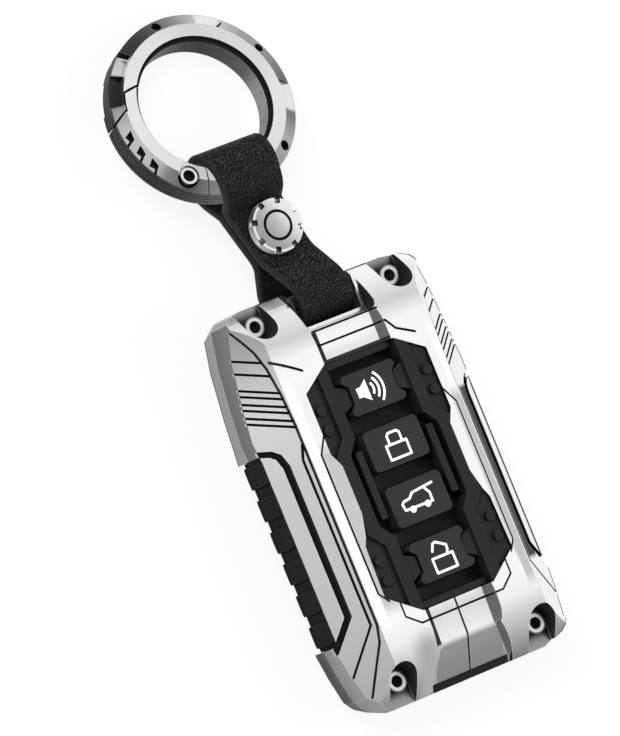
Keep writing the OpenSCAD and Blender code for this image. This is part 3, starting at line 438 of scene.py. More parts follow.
    def openness(self, reach_mm: float) -> "Value":
        """How open the surface is.

        Args:
            reach_mm: Distance over which neighbouring walls count, in millimetres.

        Returns:
            0 deep in a narrow groove, 1 in the open.
        """
        node = self.add("ShaderNodeAmbientOcclusion", Distance=reach_mm * MM)
        node.samples = HOLLOW_SAMPLES
        return Value(self, node.outputs["AO"])


@dataclass(frozen=True)
class Value:
    """A number that goes over a surface, with plain arithmetic.

    Attributes:
        shader: The shader it belongs to.
        socket: The socket that gives it.
    """

    shader: Shader
    socket: Socket

    def _do(self, operation: str, a: object, b: object = 0.0) -> "Value":
        """One step of arithmetic on values or numbers."""
        return Value(self.shader, self.shader.step("ShaderNodeMath", operation, a, b).outputs[0])

    def __add__(self, other: object) -> "Value":
        """The sum."""
        return self._do("ADD", self, other)

    def __sub__(self, other: object) -> "Value":
        """The difference."""
        return self._do("SUBTRACT", self, other)

    def __mul__(self, other: object) -> "Value":
        """The product."""
        return self._do("MULTIPLY", self, other)

    __radd__ = __add__
    __rmul__ = __mul__

    def __rsub__(self, other: object) -> "Value":
        """A number less this."""
        return self._do("SUBTRACT", other, self)

    def __abs__(self) -> "Value":
        """The size without its sign."""
        return self._do("ABSOLUTE", self)

    def __pow__(self, power: float) -> "Value":
        """This raised to a power."""
        return self._do("POWER", self, power)

    def direction(self, other: "Value") -> "Value":
        """Angle in degrees of the point with this along X and the other along Y."""
        return self._do("ARCTAN2", other, self) * math.degrees(1.0)

    def length(self, other: "Value") -> "Value":
        """Length of the vector of this and the other."""
        return (self ** 2.0 + other ** 2.0) ** 0.5

    def cosine(self) -> "Value":
        """Cosine of an angle in degrees."""
        return self._do("COSINE", self * math.radians(1.0))

    def sine(self) -> "Value":
        """Sine of an angle in degrees."""
        return self._do("SINE", self * math.radians(1.0))

    def at_most(self, other: object) -> "Value":
        """The smaller of two."""
        return self._do("MINIMUM", self, other)

    def at_least(self, other: object) -> "Value":
        """The larger of two."""
        return self._do("MAXIMUM", self, other)

    def spread(self, low: float, high: float, start: float = 0.3, end: float = 0.7) -> "Value":
        """Maps this to a range.

        Args:
            low: Result up to the start.
            high: Result from the end on.
            start: Lower end of this.
            end: Upper end of this.

        Returns:
            The mapped value.
        """
        node = self.shader.add("ShaderNodeMapRange", Value=self, From_Min=start, From_Max=end, To_Min=low,
                               To_Max=high)
        return Value(self.shader, node.outputs["Result"])

    def ramp(self, start: float, end: float) -> "Value":
        """0 up to the start and 1 from the end on, straight between; the end may be the smaller one."""
        return self.spread(0.0, 1.0, start, end)

    def over(self, limit: float, soft: float = 0.06) -> "Value":
        """1 where this is more than the limit, 0 where it is less."""
        return self.ramp(limit - soft, limit + soft)

    def under(self, limit: float, soft: float = 0.06) -> "Value":
        """1 where this is less than the limit, 0 where it is more."""
        return self.ramp(limit + soft, limit - soft)

    def between(self, low: Optional[float], high: Optional[float], soft: float = 0.06,
                high_soft: Optional[float] = None) -> "Value":
        """Whether this lies between two limits.

        Args:
            low: Lower limit, or None for an open end.
            high: Upper limit, or None for an open end.
            soft: Softness of the limits.
            high_soft: Softness of the upper one where it differs.

        Returns:
            1 between them, 0 outside.
        """
        high_soft = soft if high_soft is None else high_soft
        if low is None:
            return self.under(high, high_soft)
        return self.over(low, soft) if high is None else self.over(low, soft) * self.under(high, high_soft)

    def curve(self, stops: Stops) -> "Value":
        """Straight lines through stops.

        Args:
            stops: Pairs of this value and the result, rising in the first.

        Returns:
            The result, level outside the stops.
        """
        start, end = stops[0][0], stops[-1][0]
        low, high = min(result for _, result in stops), max(result for _, result in stops)
        node = self.shader.add("ShaderNodeValToRGB", Fac=self.spread(0.0, 1.0, start, end))
        marks = node.color_ramp.elements
        marks.remove(marks[-1])
        for i, (place, result) in enumerate(stops):
            at = (place - start) / (end - start)
            mark = marks[0] if i == 0 else marks.new(at)
            mark.position = at
            mark.color = (*[(result - low) / (high - low)] * 3, 1.0)
        return Value(self.shader, node.outputs["Color"]) * (high - low) + low

    def mix(self, other: object, share: "Value") -> "Value":
        """This where the share is 0, the other where it is 1."""
        return self + (other - self) * share


@dataclass(frozen=True)
class Spot:
    """The surface point being painted, on the object at rest, in millimetres.

    Attributes:
        x: Its place across the object.
        y: Its place along the object.
        z: Its height.
        side: Its distance from the middle line.
        end: Its distance from the middle of the length.
        nx: Part of its facing direction along X.
        ny: The same along Y.
        nz: The same along Z.
        depth: How far it lies below the shell's open surface; known on the shells only.
        past: How far it lies beyond the ridge of the shell.
        edge: How far it lies beyond the shell's outline.
    """

    x: Value
    y: Value
    z: Value
    side: Value
    end: Value
    nx: Value
    ny: Value
    nz: Value
    depth: Optional[Value] = None
    past: Optional[Value] = None
    edge: Optional[Value] = None


class Axis(Enum):
    """The direction along which a tone changes."""

    ACROSS = "x"
    ALONG = "y"
    HEIGHT = "z"


@dataclass(frozen=True)
class Fade:
    """A painted light or shade that changes from place to place.

    Attributes:
        axis: The direction in which it changes.
        stops: Its stops.
    """

    axis: Axis
    stops: Stops

    def at(self, p: Spot) -> Value:
        """The tone at a surface point."""
        return {Axis.ACROSS: p.x, Axis.ALONG: p.y, Axis.HEIGHT: p.z}[self.axis].curve(self.stops)


@dataclass(frozen=True)
class Patch:
    """A stretch of a piece with a tone of its own, on the metals mostly a painted light or shade.

    The limits are named as in Spot. Each is a low end, a high end, None for an open one, and a softness,
    with a second softness for the high end where it differs.

    Attributes:
        what: What the stretch is on the real object.
        tone: 0 for black, 1 for bright, or how it fades.
    """

    what: str
    tone: Union[float, Fade]
    x: Optional[Limits] = None
    y: Optional[Limits] = None
    z: Optional[Limits] = None
    side: Optional[Limits] = None
    end: Optional[Limits] = None
    nx: Optional[Limits] = None
    ny: Optional[Limits] = None
    nz: Optional[Limits] = None
    depth: Optional[Limits] = None
    past: Optional[Limits] = None
    edge: Optional[Limits] = None

    def share(self, p: Spot) -> Value:
        """How much of the patch a surface point has.

        Args:
            p: The point.

        Returns:
            1 in the patch, 0 outside.
        """
        pairs = ((p.x, self.x), (p.y, self.y), (p.z, self.z), (p.side, self.side), (p.end, self.end),
                 (p.nx, self.nx), (p.ny, self.ny), (p.nz, self.nz), (p.depth, self.depth),
                 (p.past, self.past), (p.edge, self.edge))
        first, *others = [value.between(*limits) for value, limits in pairs if limits is not None]
        return math.prod(others, start=first)


def lay(patches: Sequence[Patch], tone: Value, p: Spot) -> Value:
    """Lays patches over a tone, the last one on top.

    Args:
        patches: The patches.
        tone: The tone below them.
        p: The surface point.

    Returns:
        The new tone.
    """
    for patch in patches:
        level = patch.tone.at(p) if isinstance(patch.tone, Fade) else patch.tone
        tone = tone.mix(level, patch.share(p))
    return tone


# The cover screws' distance from the middle line and place along Y
COVER_SCREWS: Sequence[Flat] = ((16.54, 38.8), (17.21, -37.8))

# Limits that several stretches of the shell share
UP: Limits = (0.35, None, SOFT)
WALL: Limits = (None, 0.35, SOFT)
CHANNEL_HALF: Limits = (None, 8.2, CRISP)
IN_CHANNEL: Limits = (0.05, None, CRISP)
BESIDE_WINDOW: Limits = (-24.0, 11.0, 1.5)
FAR_STRETCH: Limits = (-25.0, 12.5, 0.5)
INNER_SIDE: Limits = (None, -0.2, SOFT)
SLOT_HALF: Limits = (None, 8.4, CRISP)
TAIL: Limits = (None, -34.2, WIDE)
FACING_LEFT: Limits = (None, -0.3, SOFT)
GROOVE_HALF = 0.22

# Painted reflections, highlights and shade on the shoulders and slanting faces, by which way each faces
FACES = (
    Patch("left of the window", 0.6, x=(None, 0.0, 0.06), side=(None, 16.6, SOFT), y=BESIDE_WINDOW),
    Patch("right of the window", 0.6, x=(15.9, None, 0.4), side=(None, 16.6, SOFT), y=BESIDE_WINDOW),
    Patch("light before the ridge", 0.99, side=(16.7, None, SOFT), y=(-27.0, 26.0, 1.5)),
    Patch("grey strip on the right", 0.57, x=(16.2, 18.5, 0.06), y=(-29.0, 12.0, 1.5)),
    Patch("left slanting face",
          Fade(Axis.ALONG, ((-43.0, 0.36), (-36.0, 0.44), (-28.0, 0.5), (-12.0, 0.55), (6.0, 0.59),
                            (14.0, 0.64), (22.0, 0.66), (29.0, 0.54), (34.0, 0.4), (43.0, 0.28))),
          nx=(None, -0.52, 0.06), nz=UP, side=(16.0, None, 0.4)),
    Patch("right slanting face", 0.88, nx=(0.52, None, 0.06), nz=UP, side=(16.0, None, 0.4)),
    Patch("bright strip on the right", 0.98, x=(18.6, 19.5, CRISP), y=FAR_STRETCH),
    Patch("dark far face", Fade(Axis.ACROSS, ((19.5, 0.1), (20.2, 0.18), (20.8, 0.055), (23.2, 0.03))),
          x=(19.5, 23.2, 0.08), y=FAR_STRETCH),
    Patch("far ridge line", 0.05, x=(0.0, None, 0.06), past=(-0.12, 0.3, FINE), y=(12.0, 33.0, 0.5)),
)
# Painted shade on the end wall, the tail and the channel's walls, and a painted reflection along the
# channel's floor
ENDS_AND_CHANNEL = (
    Patch("wall at the ring's end", 0.5, nz=WALL, ny=(0.75, None, SOFT)),
    Patch("shade on the tail", 0.42, x=(-13.0, -8.0, 1.6), y=(None, -31.5, 2.0), nz=UP),
    Patch("floor of the channel",
          Fade(Axis.ALONG, ((-41.0, 0.24), (-35.2, 0.3), (-34.0, 0.86), (-28.0, 0.7), (-26.0, 0.9),
                            (28.0, 0.8), (30.3, 0.97), (33.2, 0.86))),
          side=CHANNEL_HALF, depth=IN_CHANNEL, nz=UP),
    Patch("right wall of the channel", 0.15, side=(6.4, 8.2, SOFT, CRISP), depth=IN_CHANNEL,
          y=(-34.4, None, WIDE), nx=FACING_LEFT),
    Patch("left wall of the channel", 0.012, x=(-8.35, -6.4, CRISP), y=(-34.4, 33.4, 0.2)),
)
# Painted shade in the cut lines, fainter by the ridge, along the line from the channel to the left ridge, and
# on the channel's flare
CUT_LINES = Patch("cut lines", 0.008, depth=(0.12, 1.35, CRISP, SOFT), edge=INNER_SIDE,
                  side=(8.25, None, CRISP))
FAINT_LINES = Patch("faint lines by the ridge", 0.2, y=(22.0, None, 1.5), past=(-0.45, 0.3, CRISP),
                    depth=(None, 0.75, CRISP))
JOIN_LINE = Patch("line from the channel to the left ridge", 0.01, x=(-19.3, -13.6, SOFT))
FLARE = Patch("flare of the channel", 0.13, side=(None, 9.7, CRISP), y=TAIL)
# Painted shade in the grooves and on the right wall of the flare
GROOVES = (
    *(Patch("groove across the channel", 0.01, side=CHANNEL_HALF, depth=IN_CHANNEL,
            y=(place - GROOVE_HALF, place + GROOVE_HALF, HAIR)) for place in (33.5, 30.49, -28.81)),
    Patch("groove along the tail", 0.01, side=(None, 0.21, HAIR), y=(None, -26.3, SOFT)),
    Patch("lip over the panel", 0.03, side=(None, 8.0, CRISP), y=(20.0, 27.3, 1.0, 0.04),
          nz=(0.3, None, SOFT)),
    Patch("right wall of the flare", FLARE.tone, side=FLARE.side, y=TAIL, nx=FACING_LEFT,
          x=(0.0, None, 0.06), depth=(0.1, None, CRISP)),
)
# Painted shade in the screw pockets, the strap's slot, the notch in the tail and inside the shell
POCKETS = Patch("walls of the screw pockets", 0.03, z=(11.9, 17.5, SOFT), depth=(0.15, None, CRISP))
DEPTHS = (
    Patch("walls of the strap's slot", 0.02, side=SLOT_HALF, y=(33.7, None, CRISP), nz=(None, 0.8, SOFT),
          depth=(0.5, None, SOFT)),
    Patch("mouth of the slot", 0.02, side=SLOT_HALF, y=(34.9, None, CRISP)),
    Patch("notch in the tail", 0.015, side=(None, 9.3, CRISP), y=(None, -41.3, SOFT), z=(7.6, 13.1, SOFT),
          nz=UP),
    Patch("inside", 0.05, side=(None, 22.0, WIDE), end=(None, 34.0, WIDE), z=(1.0, 15.5, 0.2, WIDE),
          nz=(None, 0.2, SOFT), edge=INNER_SIDE),
)


@dataclass(frozen=True)
class ShellPaint:
    """Painted light and shade of the front shell: painted highlights on the level shoulders, greyer painted
    reflections on the slanting faces, painted shade in the lines and pockets.

    Attributes:
        outline: Half width along Y.
        ridge: Where the shoulder meets the slanting face, along Y.
        level: Height of the shoulders across.
        slant: Height of the slanting faces across.
        top: Height of the middle.
        crowns: Where the top starts to fall towards each end along Y, and how fast.
        shoulder: Painted reflection on the shoulders along Y.
        cloud: Size of the faint clouds on them.
        cloud_tone: Least factor of the clouds, and how much it grows.
        wall: Painted shade on the upright walls by height.
        wall_along: Factor on it along Y.
        join: A point of the line of painted shade that joins the channel to the left ridge.
        join_across: Direction across that line.
        join_half: Half its width.
        rim_width: Width of the thin line of painted shade at the far edge along Y.
        rim_tone: Its tone.
        end_rim: Where that line starts at the ring's end.
        pocket_r: Radius of a screw pocket.
        pocket_half: Half width of its open side.
        pocket_floor: Painted shade on its floor, lighter outwards from the screw.
    """

    outline: Stops = ((-43.0, 18.5), (-41.4, 22.4), (-38.7, 24.4), (-32.7, 25.7), (-27.1, 26.4),
                      (-25.8, 25.66), (12.9, 25.66), (17.2, 26.0), (24.1, 25.4), (34.0, 24.2),
                      (41.2, 22.6), (42.4, 21.1), (43.0, 17.0))
    ridge: Stops = ((-39.1, 23.76), (-33.1, 21.12), (-29.2, 19.4), (-25.8, 18.74), (17.2, 18.74),
                    (24.1, 19.0), (30.1, 19.6), (34.0, 20.46), (37.0, 21.65), (39.6, 22.84), (41.5, 23.76))
    level: Stops = ((0.0, 20.5), (14.49, 20.5), (16.59, 20.25), (18.69, 19.4), (27.4, 11.82))
    slant: Stops = ((17.0, 20.18), (27.4, 11.13))
    top: float = 20.5
    crowns: Tuple[Flat, Flat] = ((30.1, 0.0469), (-29.5, 0.0439))
    shoulder: Stops = ((-43.0, 0.2), (-39.0, 0.38), (-34.5, 0.62), (-31.0, 0.86), (-27.0, 0.94),
                       (12.0, 0.93), (20.0, 0.9), (26.0, 0.95), (30.0, 0.92), (34.0, 0.62), (38.0, 0.8),
                       (41.0, 0.92))
    cloud: float = 16.0
    cloud_tone: Flat = (0.97, 0.06)
    wall: Stops = ((7.3, 0.165), (12.6, 0.21))
    wall_along: Stops = ((-43.0, 1.5), (-27.5, 1.6), (-26.0, 1.0))
    join: Flat = (-18.9, 30.75)
    join_across: Flat = (0.569, 0.822)
    join_half: float = 0.27
    rim_width: Stops = ((-43.0, 0.3), (-28.0, 0.35), (-25.0, 0.7), (12.0, 0.7), (14.0, 0.35), (43.0, 0.3))
    rim_tone: float = 0.03
    end_rim: float = 42.72
    pocket_r: float = 3.42
    pocket_half: float = 3.4
    pocket_floor: Stops = ((0.5, 0.02), (2.4, 0.05), (3.6, 0.24), (5.2, 0.3))

    def spot(self, s: Shader) -> Spot:
        """The surface point being painted, with its place on the shell.

        Args:
            s: The shader it is painted in.

        Returns:
            The point.
        """
        p = s.spot()
        (strap_y, strap_fall), (tail_y, tail_fall) = self.crowns
        crown = self.top - (p.y - strap_y).at_least(0.0) ** 2.0 * strap_fall
        crown = crown - (tail_y - p.y).at_least(0.0) ** 2.0 * tail_fall
        past = p.side - p.y.curve(self.ridge)
        surface = p.side.curve(self.level).mix(p.side.curve(self.slant), past.over(0.0, HAIR))
        return replace(p, depth=surface.at_most(crown) - p.z, past=past,
                       edge=p.side - p.y.curve(self.outline))

    def tone(self, s: Shader) -> Value:
        """The shell's painted light and shade at every point.

        Args:
            s: The shader it is made for.

        Returns:
            The tone.
        """
        p = self.spot(s)
        cloud = self.cloud_tone[0] + self.cloud_tone[1] * s.noise(self.cloud)
        tone = lay(FACES, p.y.curve(self.shoulder) * cloud, p)
        tone = tone.mix(p.z.curve(self.wall) * p.y.curve(self.wall_along), p.nz.between(*WALL))
        tone = self.lines(lay(ENDS_AND_CHANNEL, tone, p), p)
        tone = self.far_edge(lay(GROOVES, tone, p), p)
        return lay(DEPTHS, self.pockets(tone, p), p)

    def lines(self, tone: Value, p: Spot) -> Value:
        """Paints shade into the cut lines and slots, which gets fainter near the ring's end of the ridge.

        Args:
            tone: The tone so far.
            p: The surface point.

        Returns:
            The new tone.
        """
        line = CUT_LINES.share(p) * (1.0 - FLARE.share(p))
        tone = tone.mix(CUT_LINES.tone + FAINT_LINES.tone * FAINT_LINES.share(p), line)
        across = (p.x - self.join[0]) * self.join_across[0] + (p.y - self.join[1]) * self.join_across[1]
        return tone.mix(JOIN_LINE.tone, abs(across).under(self.join_half, FINE) * JOIN_LINE.share(p))

    def far_edge(self, tone: Value, p: Spot) -> Value:
        """Paints the thin line of shade where the far edges meet the painted light.

        Args:
            tone: The tone so far.
            p: The surface point.

        Returns:
            The new tone.
        """
        rim = (p.edge + p.y.curve(self.rim_width)).over(0.0, CRISP) * p.x.over(0.0)
        return tone.mix(self.rim_tone, rim.at_least(p.y.over(self.end_rim, FINE)) * p.nz.between(*UP))

    def pockets(self, tone: Value, p: Spot) -> Value:
        """Paints shade into the pockets of the cover screws, lighter towards their open side.

        Args:
            tone: The tone so far.
            p: The surface point.

        Returns:
            The new tone.
        """
        for px, py in COVER_SCREWS:
            beside = p.side - px
            out = (p.y - py) if py > 0 else (py - p.y)
            open_side = abs(beside).under(self.pocket_half, CRISP) * out.over(0.0, CRISP)
            pocket = beside.length(p.y - py).under(self.pocket_r, CRISP).at_least(open_side)
            floor = POCKETS.tone + out.curve(self.pocket_floor) * p.nz.over(0.5, SOFT)
            tone = tone.mix(floor, pocket * POCKETS.share(p))
        return tone


@dataclass(frozen=True)
class RearPaint:
    """Painted light and shade of the rear cover: grey sides, a lighter back.

    Attributes:
        wall: Painted shade on its walls by height.
        rest: The other places, each with its painted light or shade.
    """

    wall: Stops = ((0.0, 0.4), (1.0, 0.36), (3.0, 0.34), (7.0, 0.34))
    rest: Sequence[Patch] = (
        # Painted shade on the tail walls and inside, a painted shadow along the foot, painted reflections on
        # the back and the end wall
        Patch("tail walls", Fade(Axis.HEIGHT, ((0.0, 0.05), (7.3, 0.11))), y=(None, -25.0, 1.5),
              nz=(-0.5, None, 0.2)),
        Patch("back", 0.62, nz=(None, -0.6, SOFT)),
        Patch("end wall", 0.42, ny=(0.7, None, SOFT)),
        Patch("foot line", 0.07, z=(None, 0.8, 0.15), nz=(-0.6, None, SOFT)),
        Patch("inside", 0.04, nz=(-0.3, None, SOFT), side=(None, 21.5, WIDE), z=(1.1, None, SOFT),
              end=(None, 39.0, 0.5)),
    )

    def tone(self, s: Shader) -> Value:
        """The rear cover's painted light and shade at every point.

        Args:
            s: The shader it is made for.

        Returns:
            The tone.
        """
        p = s.spot()
        return lay(self.rest, p.z.curve(self.wall), p)


@dataclass(frozen=True)
class Split:
    """A slanted split between the gate and the ring, with shade painted into it.

    Attributes:
        angle: Where it meets its outer radius, in degrees about the ring.
        radius: That radius, in millimetres.
        turn: Millimetres across the split for each degree.
        lean: Millimetres across the split for each millimetre of radius.
        start: Angle below which there is nothing to paint.
        half: Half its painted width, in millimetres.
    """

    angle: float
    radius: float
    turn: float
    lean: float
    start: float
    half: float = 0.24

    def share(self, angle: Value, r: Value) -> Value:
        """1 in the split and 0 beside it."""
        across = (angle - self.angle) * self.turn + (self.radius - r) * self.lean
        return abs(across).under(self.half, THIN) * angle.over(self.start, 1.0)

    def angle_at(self, r: float) -> float:
        """Its angle at a radius, in degrees."""
        return self.angle - (self.radius - r) * self.lean / self.turn


BAND_SPLIT = Split(154.0, 17.4, 0.272, 0.77, 135.0)
BODY_SPLIT = Split(173.0, 20.0, 0.31, 0.78, 150.0)


@dataclass(frozen=True)
class RingPaint:
    """Painted light and shade of the ring about its own centre: an even band, and a slanting rim whose
    painted reflection goes from black to bright.

    Attributes:
        centre: The ring's centre, in millimetres.
        tilt: How far the ring leans, in degrees.
        rim: Painted reflection on the slanting rim by angle.
        top: Painted reflection on the band's face by angle.
        inner: Painted reflection on the band's inner wall by angle.
        wall: Painted reflection on the outer wall by angle.
        pivot: The gate's hinge screw, from the centre.
        pivot_r: Radius of the painted shade about that screw.
        bore: Radius of the inner wall.
        streaks: Least factor of the fine streaks on it, and how much it grows.
        ledge: Radii of the ledge inside the band, where shade is painted.
        ledge_heights: Its heights over the middle plane.
        band_r: Where the slanting rim starts.
        outer_r: Where it ends.
        rim_heights: Half height of the ring at the start and at the end of the rim.
        line_heights: Heights of the lines round the outer wall.
        line_half: Half their width.
        line_shade: How much darker they are.
        flats: Angles of the shallow windows, whose floors stay bright.
        sunk_tone: Tone of the painted shade in slots, holes and ledges.
        split_tone: Tone of the painted shade in the gate's splits.
        joint_tone: Tone of the painted shade where body and band meet.
    """

    centre: Point = (-5.7, 84.4, 7.243)
    tilt: float = 11.5
    rim: Stops = ((-180.0, 0.52), (-165.0, 0.52), (-150.0, 0.46), (-143.0, 0.22), (-134.0, 0.16),
                  (-128.0, 0.07), (-115.0, 0.2), (-80.0, 0.3), (-60.0, 0.34), (-45.0, 0.42), (-28.0, 0.2),
                  (-24.5, 0.22), (-23.5, 0.78), (-7.0, 0.78), (-5.5, 0.15), (8.0, 0.24), (22.0, 0.34),
                  (35.0, 0.36), (51.5, 0.56), (53.0, 0.82), (67.0, 0.82), (68.5, 0.52), (84.0, 0.26),
                  (100.0, 0.09), (112.0, 0.04), (125.0, 0.03), (129.0, 0.5), (141.0, 0.62), (143.0, 0.03),
                  (162.0, 0.02), (164.0, 0.3), (180.0, 0.52))
    top: Stops = ((-180.0, 0.79), (-140.0, 0.75), (-128.0, 0.55), (-60.0, 0.72), (-15.0, 0.78), (15.0, 0.7),
                  (75.0, 0.66), (100.0, 0.74), (150.0, 0.8), (180.0, 0.79))
    inner: Stops = ((-180.0, 0.09), (-100.0, 0.05), (-60.0, 0.14), (-35.0, 0.24), (-12.0, 0.3), (2.0, 0.26),
                    (16.0, 0.12), (45.0, 0.07), (70.0, 0.035), (105.0, 0.03), (180.0, 0.07))
    wall: Stops = ((-180.0, 0.05), (-150.0, 0.03), (-130.0, 0.06), (-60.0, 0.3), (-20.0, 0.45), (30.0, 0.4),
                   (80.0, 0.06), (130.0, 0.03), (180.0, 0.05))
    pivot: Flat = (-11.18, -13.33)
    pivot_r: float = 2.3
    bore: float = 14.05
    streaks: Flat = (0.75, 0.5)
    ledge: Flat = (13.95, 14.75)
    ledge_heights: Limits = (2.2, 3.7, SOFT, FINE)
    band_r: float = 17.4
    outer_r: float = 20.0
    rim_heights: Flat = (3.8, 2.4)
    line_heights: Flat = (0.0, 1.2)
    line_half: float = 0.16
    line_shade: float = 0.7
    flats: Sequence[Flat] = ((142.5, 163.5), (130.0, 141.0), (-24.0, -6.0), (53.0, 67.0))
    sunk_tone: float = 0.012
    split_tone: float = 0.008
    joint_tone: float = 0.03

    def around(self, p: Spot) -> Tuple[Value, Value, Value]:
        """Where a surface point lies about the ring.

        Args:
            p: The point.

        Returns:
            Its angle in degrees, its distance from the axis and its height over the middle plane.
        """
        c, w = math.cos(math.radians(self.tilt)), math.sin(math.radians(self.tilt))
        x, y, z = self.centre
        u, dy, dz = p.x - x, p.y - y, p.z - z
        v = dy * c - dz * w
        return u.direction(v), u.length(v), dy * w + dz * c

    def off_pivot(self, angle: Value, r: Value) -> Value:
        """Distance from the axis of the gate's hinge screw, in millimetres."""
        return (r * angle.cosine() - self.pivot[0]).length(r * angle.sine() - self.pivot[1])

    def band_tone(self, s: Shader) -> Value:
        """The painted light and shade of the bright inner band.

        Args:
            s: The shader it is made for.

        Returns:
            The tone.
        """
        angle, r, h = self.around(s.spot())
        streak = self.streaks[0] + self.streaks[1] * s.noise(0.5, 3.0, (1.0, 1.0, 0.1))
        tone = angle.curve(self.top)
        tone = tone.mix(angle.curve(self.inner) * streak, r.under(self.bore, CRISP))
        # Painted shade in the split and on the ledge
        tone = tone.mix(self.split_tone, BAND_SPLIT.share(angle, r))
        return tone.mix(self.sunk_tone, r.between(*self.ledge, FINE) * abs(h).between(*self.ledge_heights))

    def body_tone(self, s: Shader) -> Value:
        """The painted light and shade of the outer ring and its gate.

        Args:
            s: The shader it is made for.

        Returns:
            The tone.
        """
        angle, r, h = self.around(s.spot())
        high = abs(h)
        outer = r.over(self.outer_r - 0.1, FINE)
        middle, upper = (abs(high - place).under(self.line_half, THIN) for place in self.line_heights)
        wall = angle.curve(self.wall) * (1.0 - self.line_shade * upper.at_least(middle))
        tone = angle.curve(self.rim).mix(wall, outer)
        # Slots, windows and holes are what lies clearly below the slanting rim; shade is painted into them,
        # except on the floors of the shallow windows
        slope = (self.rim_heights[0] - self.rim_heights[1]) / (self.outer_r - self.band_r)
        sunk = (self.rim_heights[0] - (r - self.band_r) * slope - high).over(0.3, 0.08)
        shallow, *others = (angle.between(*ends, WIDE) for ends in self.flats)
        for window in others:
            shallow = shallow.at_least(window)
        tone = tone.mix(self.sunk_tone, sunk * (1.0 - outer) * high.over(1.0, SOFT) * (1.0 - shallow))
        # Painted shade in the split, round the hinge screw and where body and band meet
        tone = tone.mix(self.split_tone, BODY_SPLIT.share(angle, r) * r.over(self.band_r - 0.1, CRISP))
        beside_pivot = self.off_pivot(angle, r).under(self.pivot_r, CRISP)
        tone = tone.mix(self.sunk_tone, beside_pivot * h.over(0.5, SOFT))
        return tone.mix(self.joint_tone, r.under(self.band_r - 0.05, THIN))


@dataclass(frozen=True)
class StudPaint:
    """Painted light and shade of the strap screw: a brushed face with painted light growing across it, a
    painted highlight on its rim and painted shade in its groove.

    Attributes:
        centre: Its centre, in millimetres.
        light: Direction in which the painted light on the face grows.
        face: Painted light on the face in that direction.
        brushed: Least factor of the brush marks on it, and how much it grows.
        rim_r: Radius from which a highlight is painted on the rim's darker side.
        rim_tone: Tone of that painted highlight.
        groove_r: Radius of the groove.
        groove_half: Half its width.
        groove_tone: Tone of the shade painted into it.
        wall: Painted light and shade on the outer wall.
    """

    centre: Flat = (-2.9, 56.4)
    light: Flat = (0.92, 0.39)
    face: Stops = ((-5.6, 0.34), (-2.0, 0.42), (0.5, 0.58), (3.0, 0.86), (5.6, 0.92))
    brushed: Flat = (0.9, 0.2)
    rim_r: float = 5.15
    rim_tone: float = 0.9
    groove_r: float = 2.93
    groove_half: float = 0.31
    groove_tone: float = 0.01
    wall: Stops = ((-5.6, 0.5), (-3.0, 0.06), (5.6, 0.1))

    def tone(self, s: Shader) -> Value:
        """The strap screw's painted light and shade at every point.

        Args:
            s: The shader it is made for.

        Returns:
            The tone.
        """
        p = s.spot()
        u, v = p.x - self.centre[0], p.y - self.centre[1]
        r = u.length(v)
        across = u * self.light[0] + v * self.light[1]
        marks = self.brushed[0] + self.brushed[1] * s.noise(0.3, 3.0, (0.1, 1.0, 1.0))
        tone = across.curve(self.face) * marks
        tone = tone.mix(self.rim_tone, r.over(self.rim_r, SOFT) * across.under(0.0, 1.0))
        groove = abs(r - self.groove_r).under(self.groove_half, THIN)
        tone = tone.mix(self.groove_tone, groove * p.nz.over(-0.5, SOFT))
        return tone.mix(across.curve(self.wall), p.nz.under(0.3, SOFT))


@dataclass(frozen=True)
class ScrewPaint:
    """Painted light and shade of the bright screws and the bar: a turned rim with a painted reflection round
    a socket painted black with shade.

    Attributes:
        plain: Tone where nothing else is said.
        cover_rim: Painted shade and reflection on a cover screw, outwards from its axis.
        cover_head: The heads of the cover screws, with the painted shade on their upright walls.
        cover_r: Radius within which they are painted.
        gate_rim: Painted shade and reflection on the gate's hinge screw, outwards from its axis.
        gate_r: Radius within which it is painted.
        ring_y: Where the ring begins along Y.
        bar: Where the cross bar is, in painted shade.
        ring: The ring, for the hinge screw's place.
    """

    plain: float = 0.55
    cover_rim: Stops = ((0.0, 0.008), (1.2, 0.008), (1.26, 0.4), (1.45, 0.66), (1.92, 0.6), (2.0, 0.15),
                        (2.3, 0.06))
    cover_head: Patch = Patch("heads of the cover screws", 0.03, z=(11.0, None, 0.2))
    cover_r: float = 2.6
    gate_rim: Stops = ((0.0, 0.008), (1.22, 0.008), (1.28, 0.7), (1.72, 0.75), (1.8, 0.3))
    gate_r: float = 2.0
    ring_y: float = 60.0
    bar: Patch = Patch("cross bar", 0.02, y=(36.0, 46.0, 0.06), z=(None, 12.5, 0.06),
                       side=(None, 14.0, 0.06))
    ring: RingPaint = RingPaint()

    def tone(self, s: Shader) -> Value:
        """The screws' painted light and shade at every point.

        Args:
            s: The shader it is made for.

        Returns:
            The tone.
        """
        p = s.spot()
        tone = p.nz * 0.0 + self.plain
        for px, py in COVER_SCREWS:
            away = (p.side - px).length(p.y - py)
            head = away.under(self.cover_r, SOFT) * self.cover_head.share(p)
            tone = tone.mix(away.curve(self.cover_rim), head * p.nz.over(0.3, SOFT))
            tone = tone.mix(self.cover_head.tone, head * p.nz.under(0.3, SOFT))
        angle, r, _ = self.ring.around(p)
        away = self.ring.off_pivot(angle, r)
        gate_head = away.under(self.gate_r, CRISP) * p.y.over(self.ring_y, 1.0)
        return lay([self.bar], tone, p).mix(away.curve(self.gate_rim), gate_head)


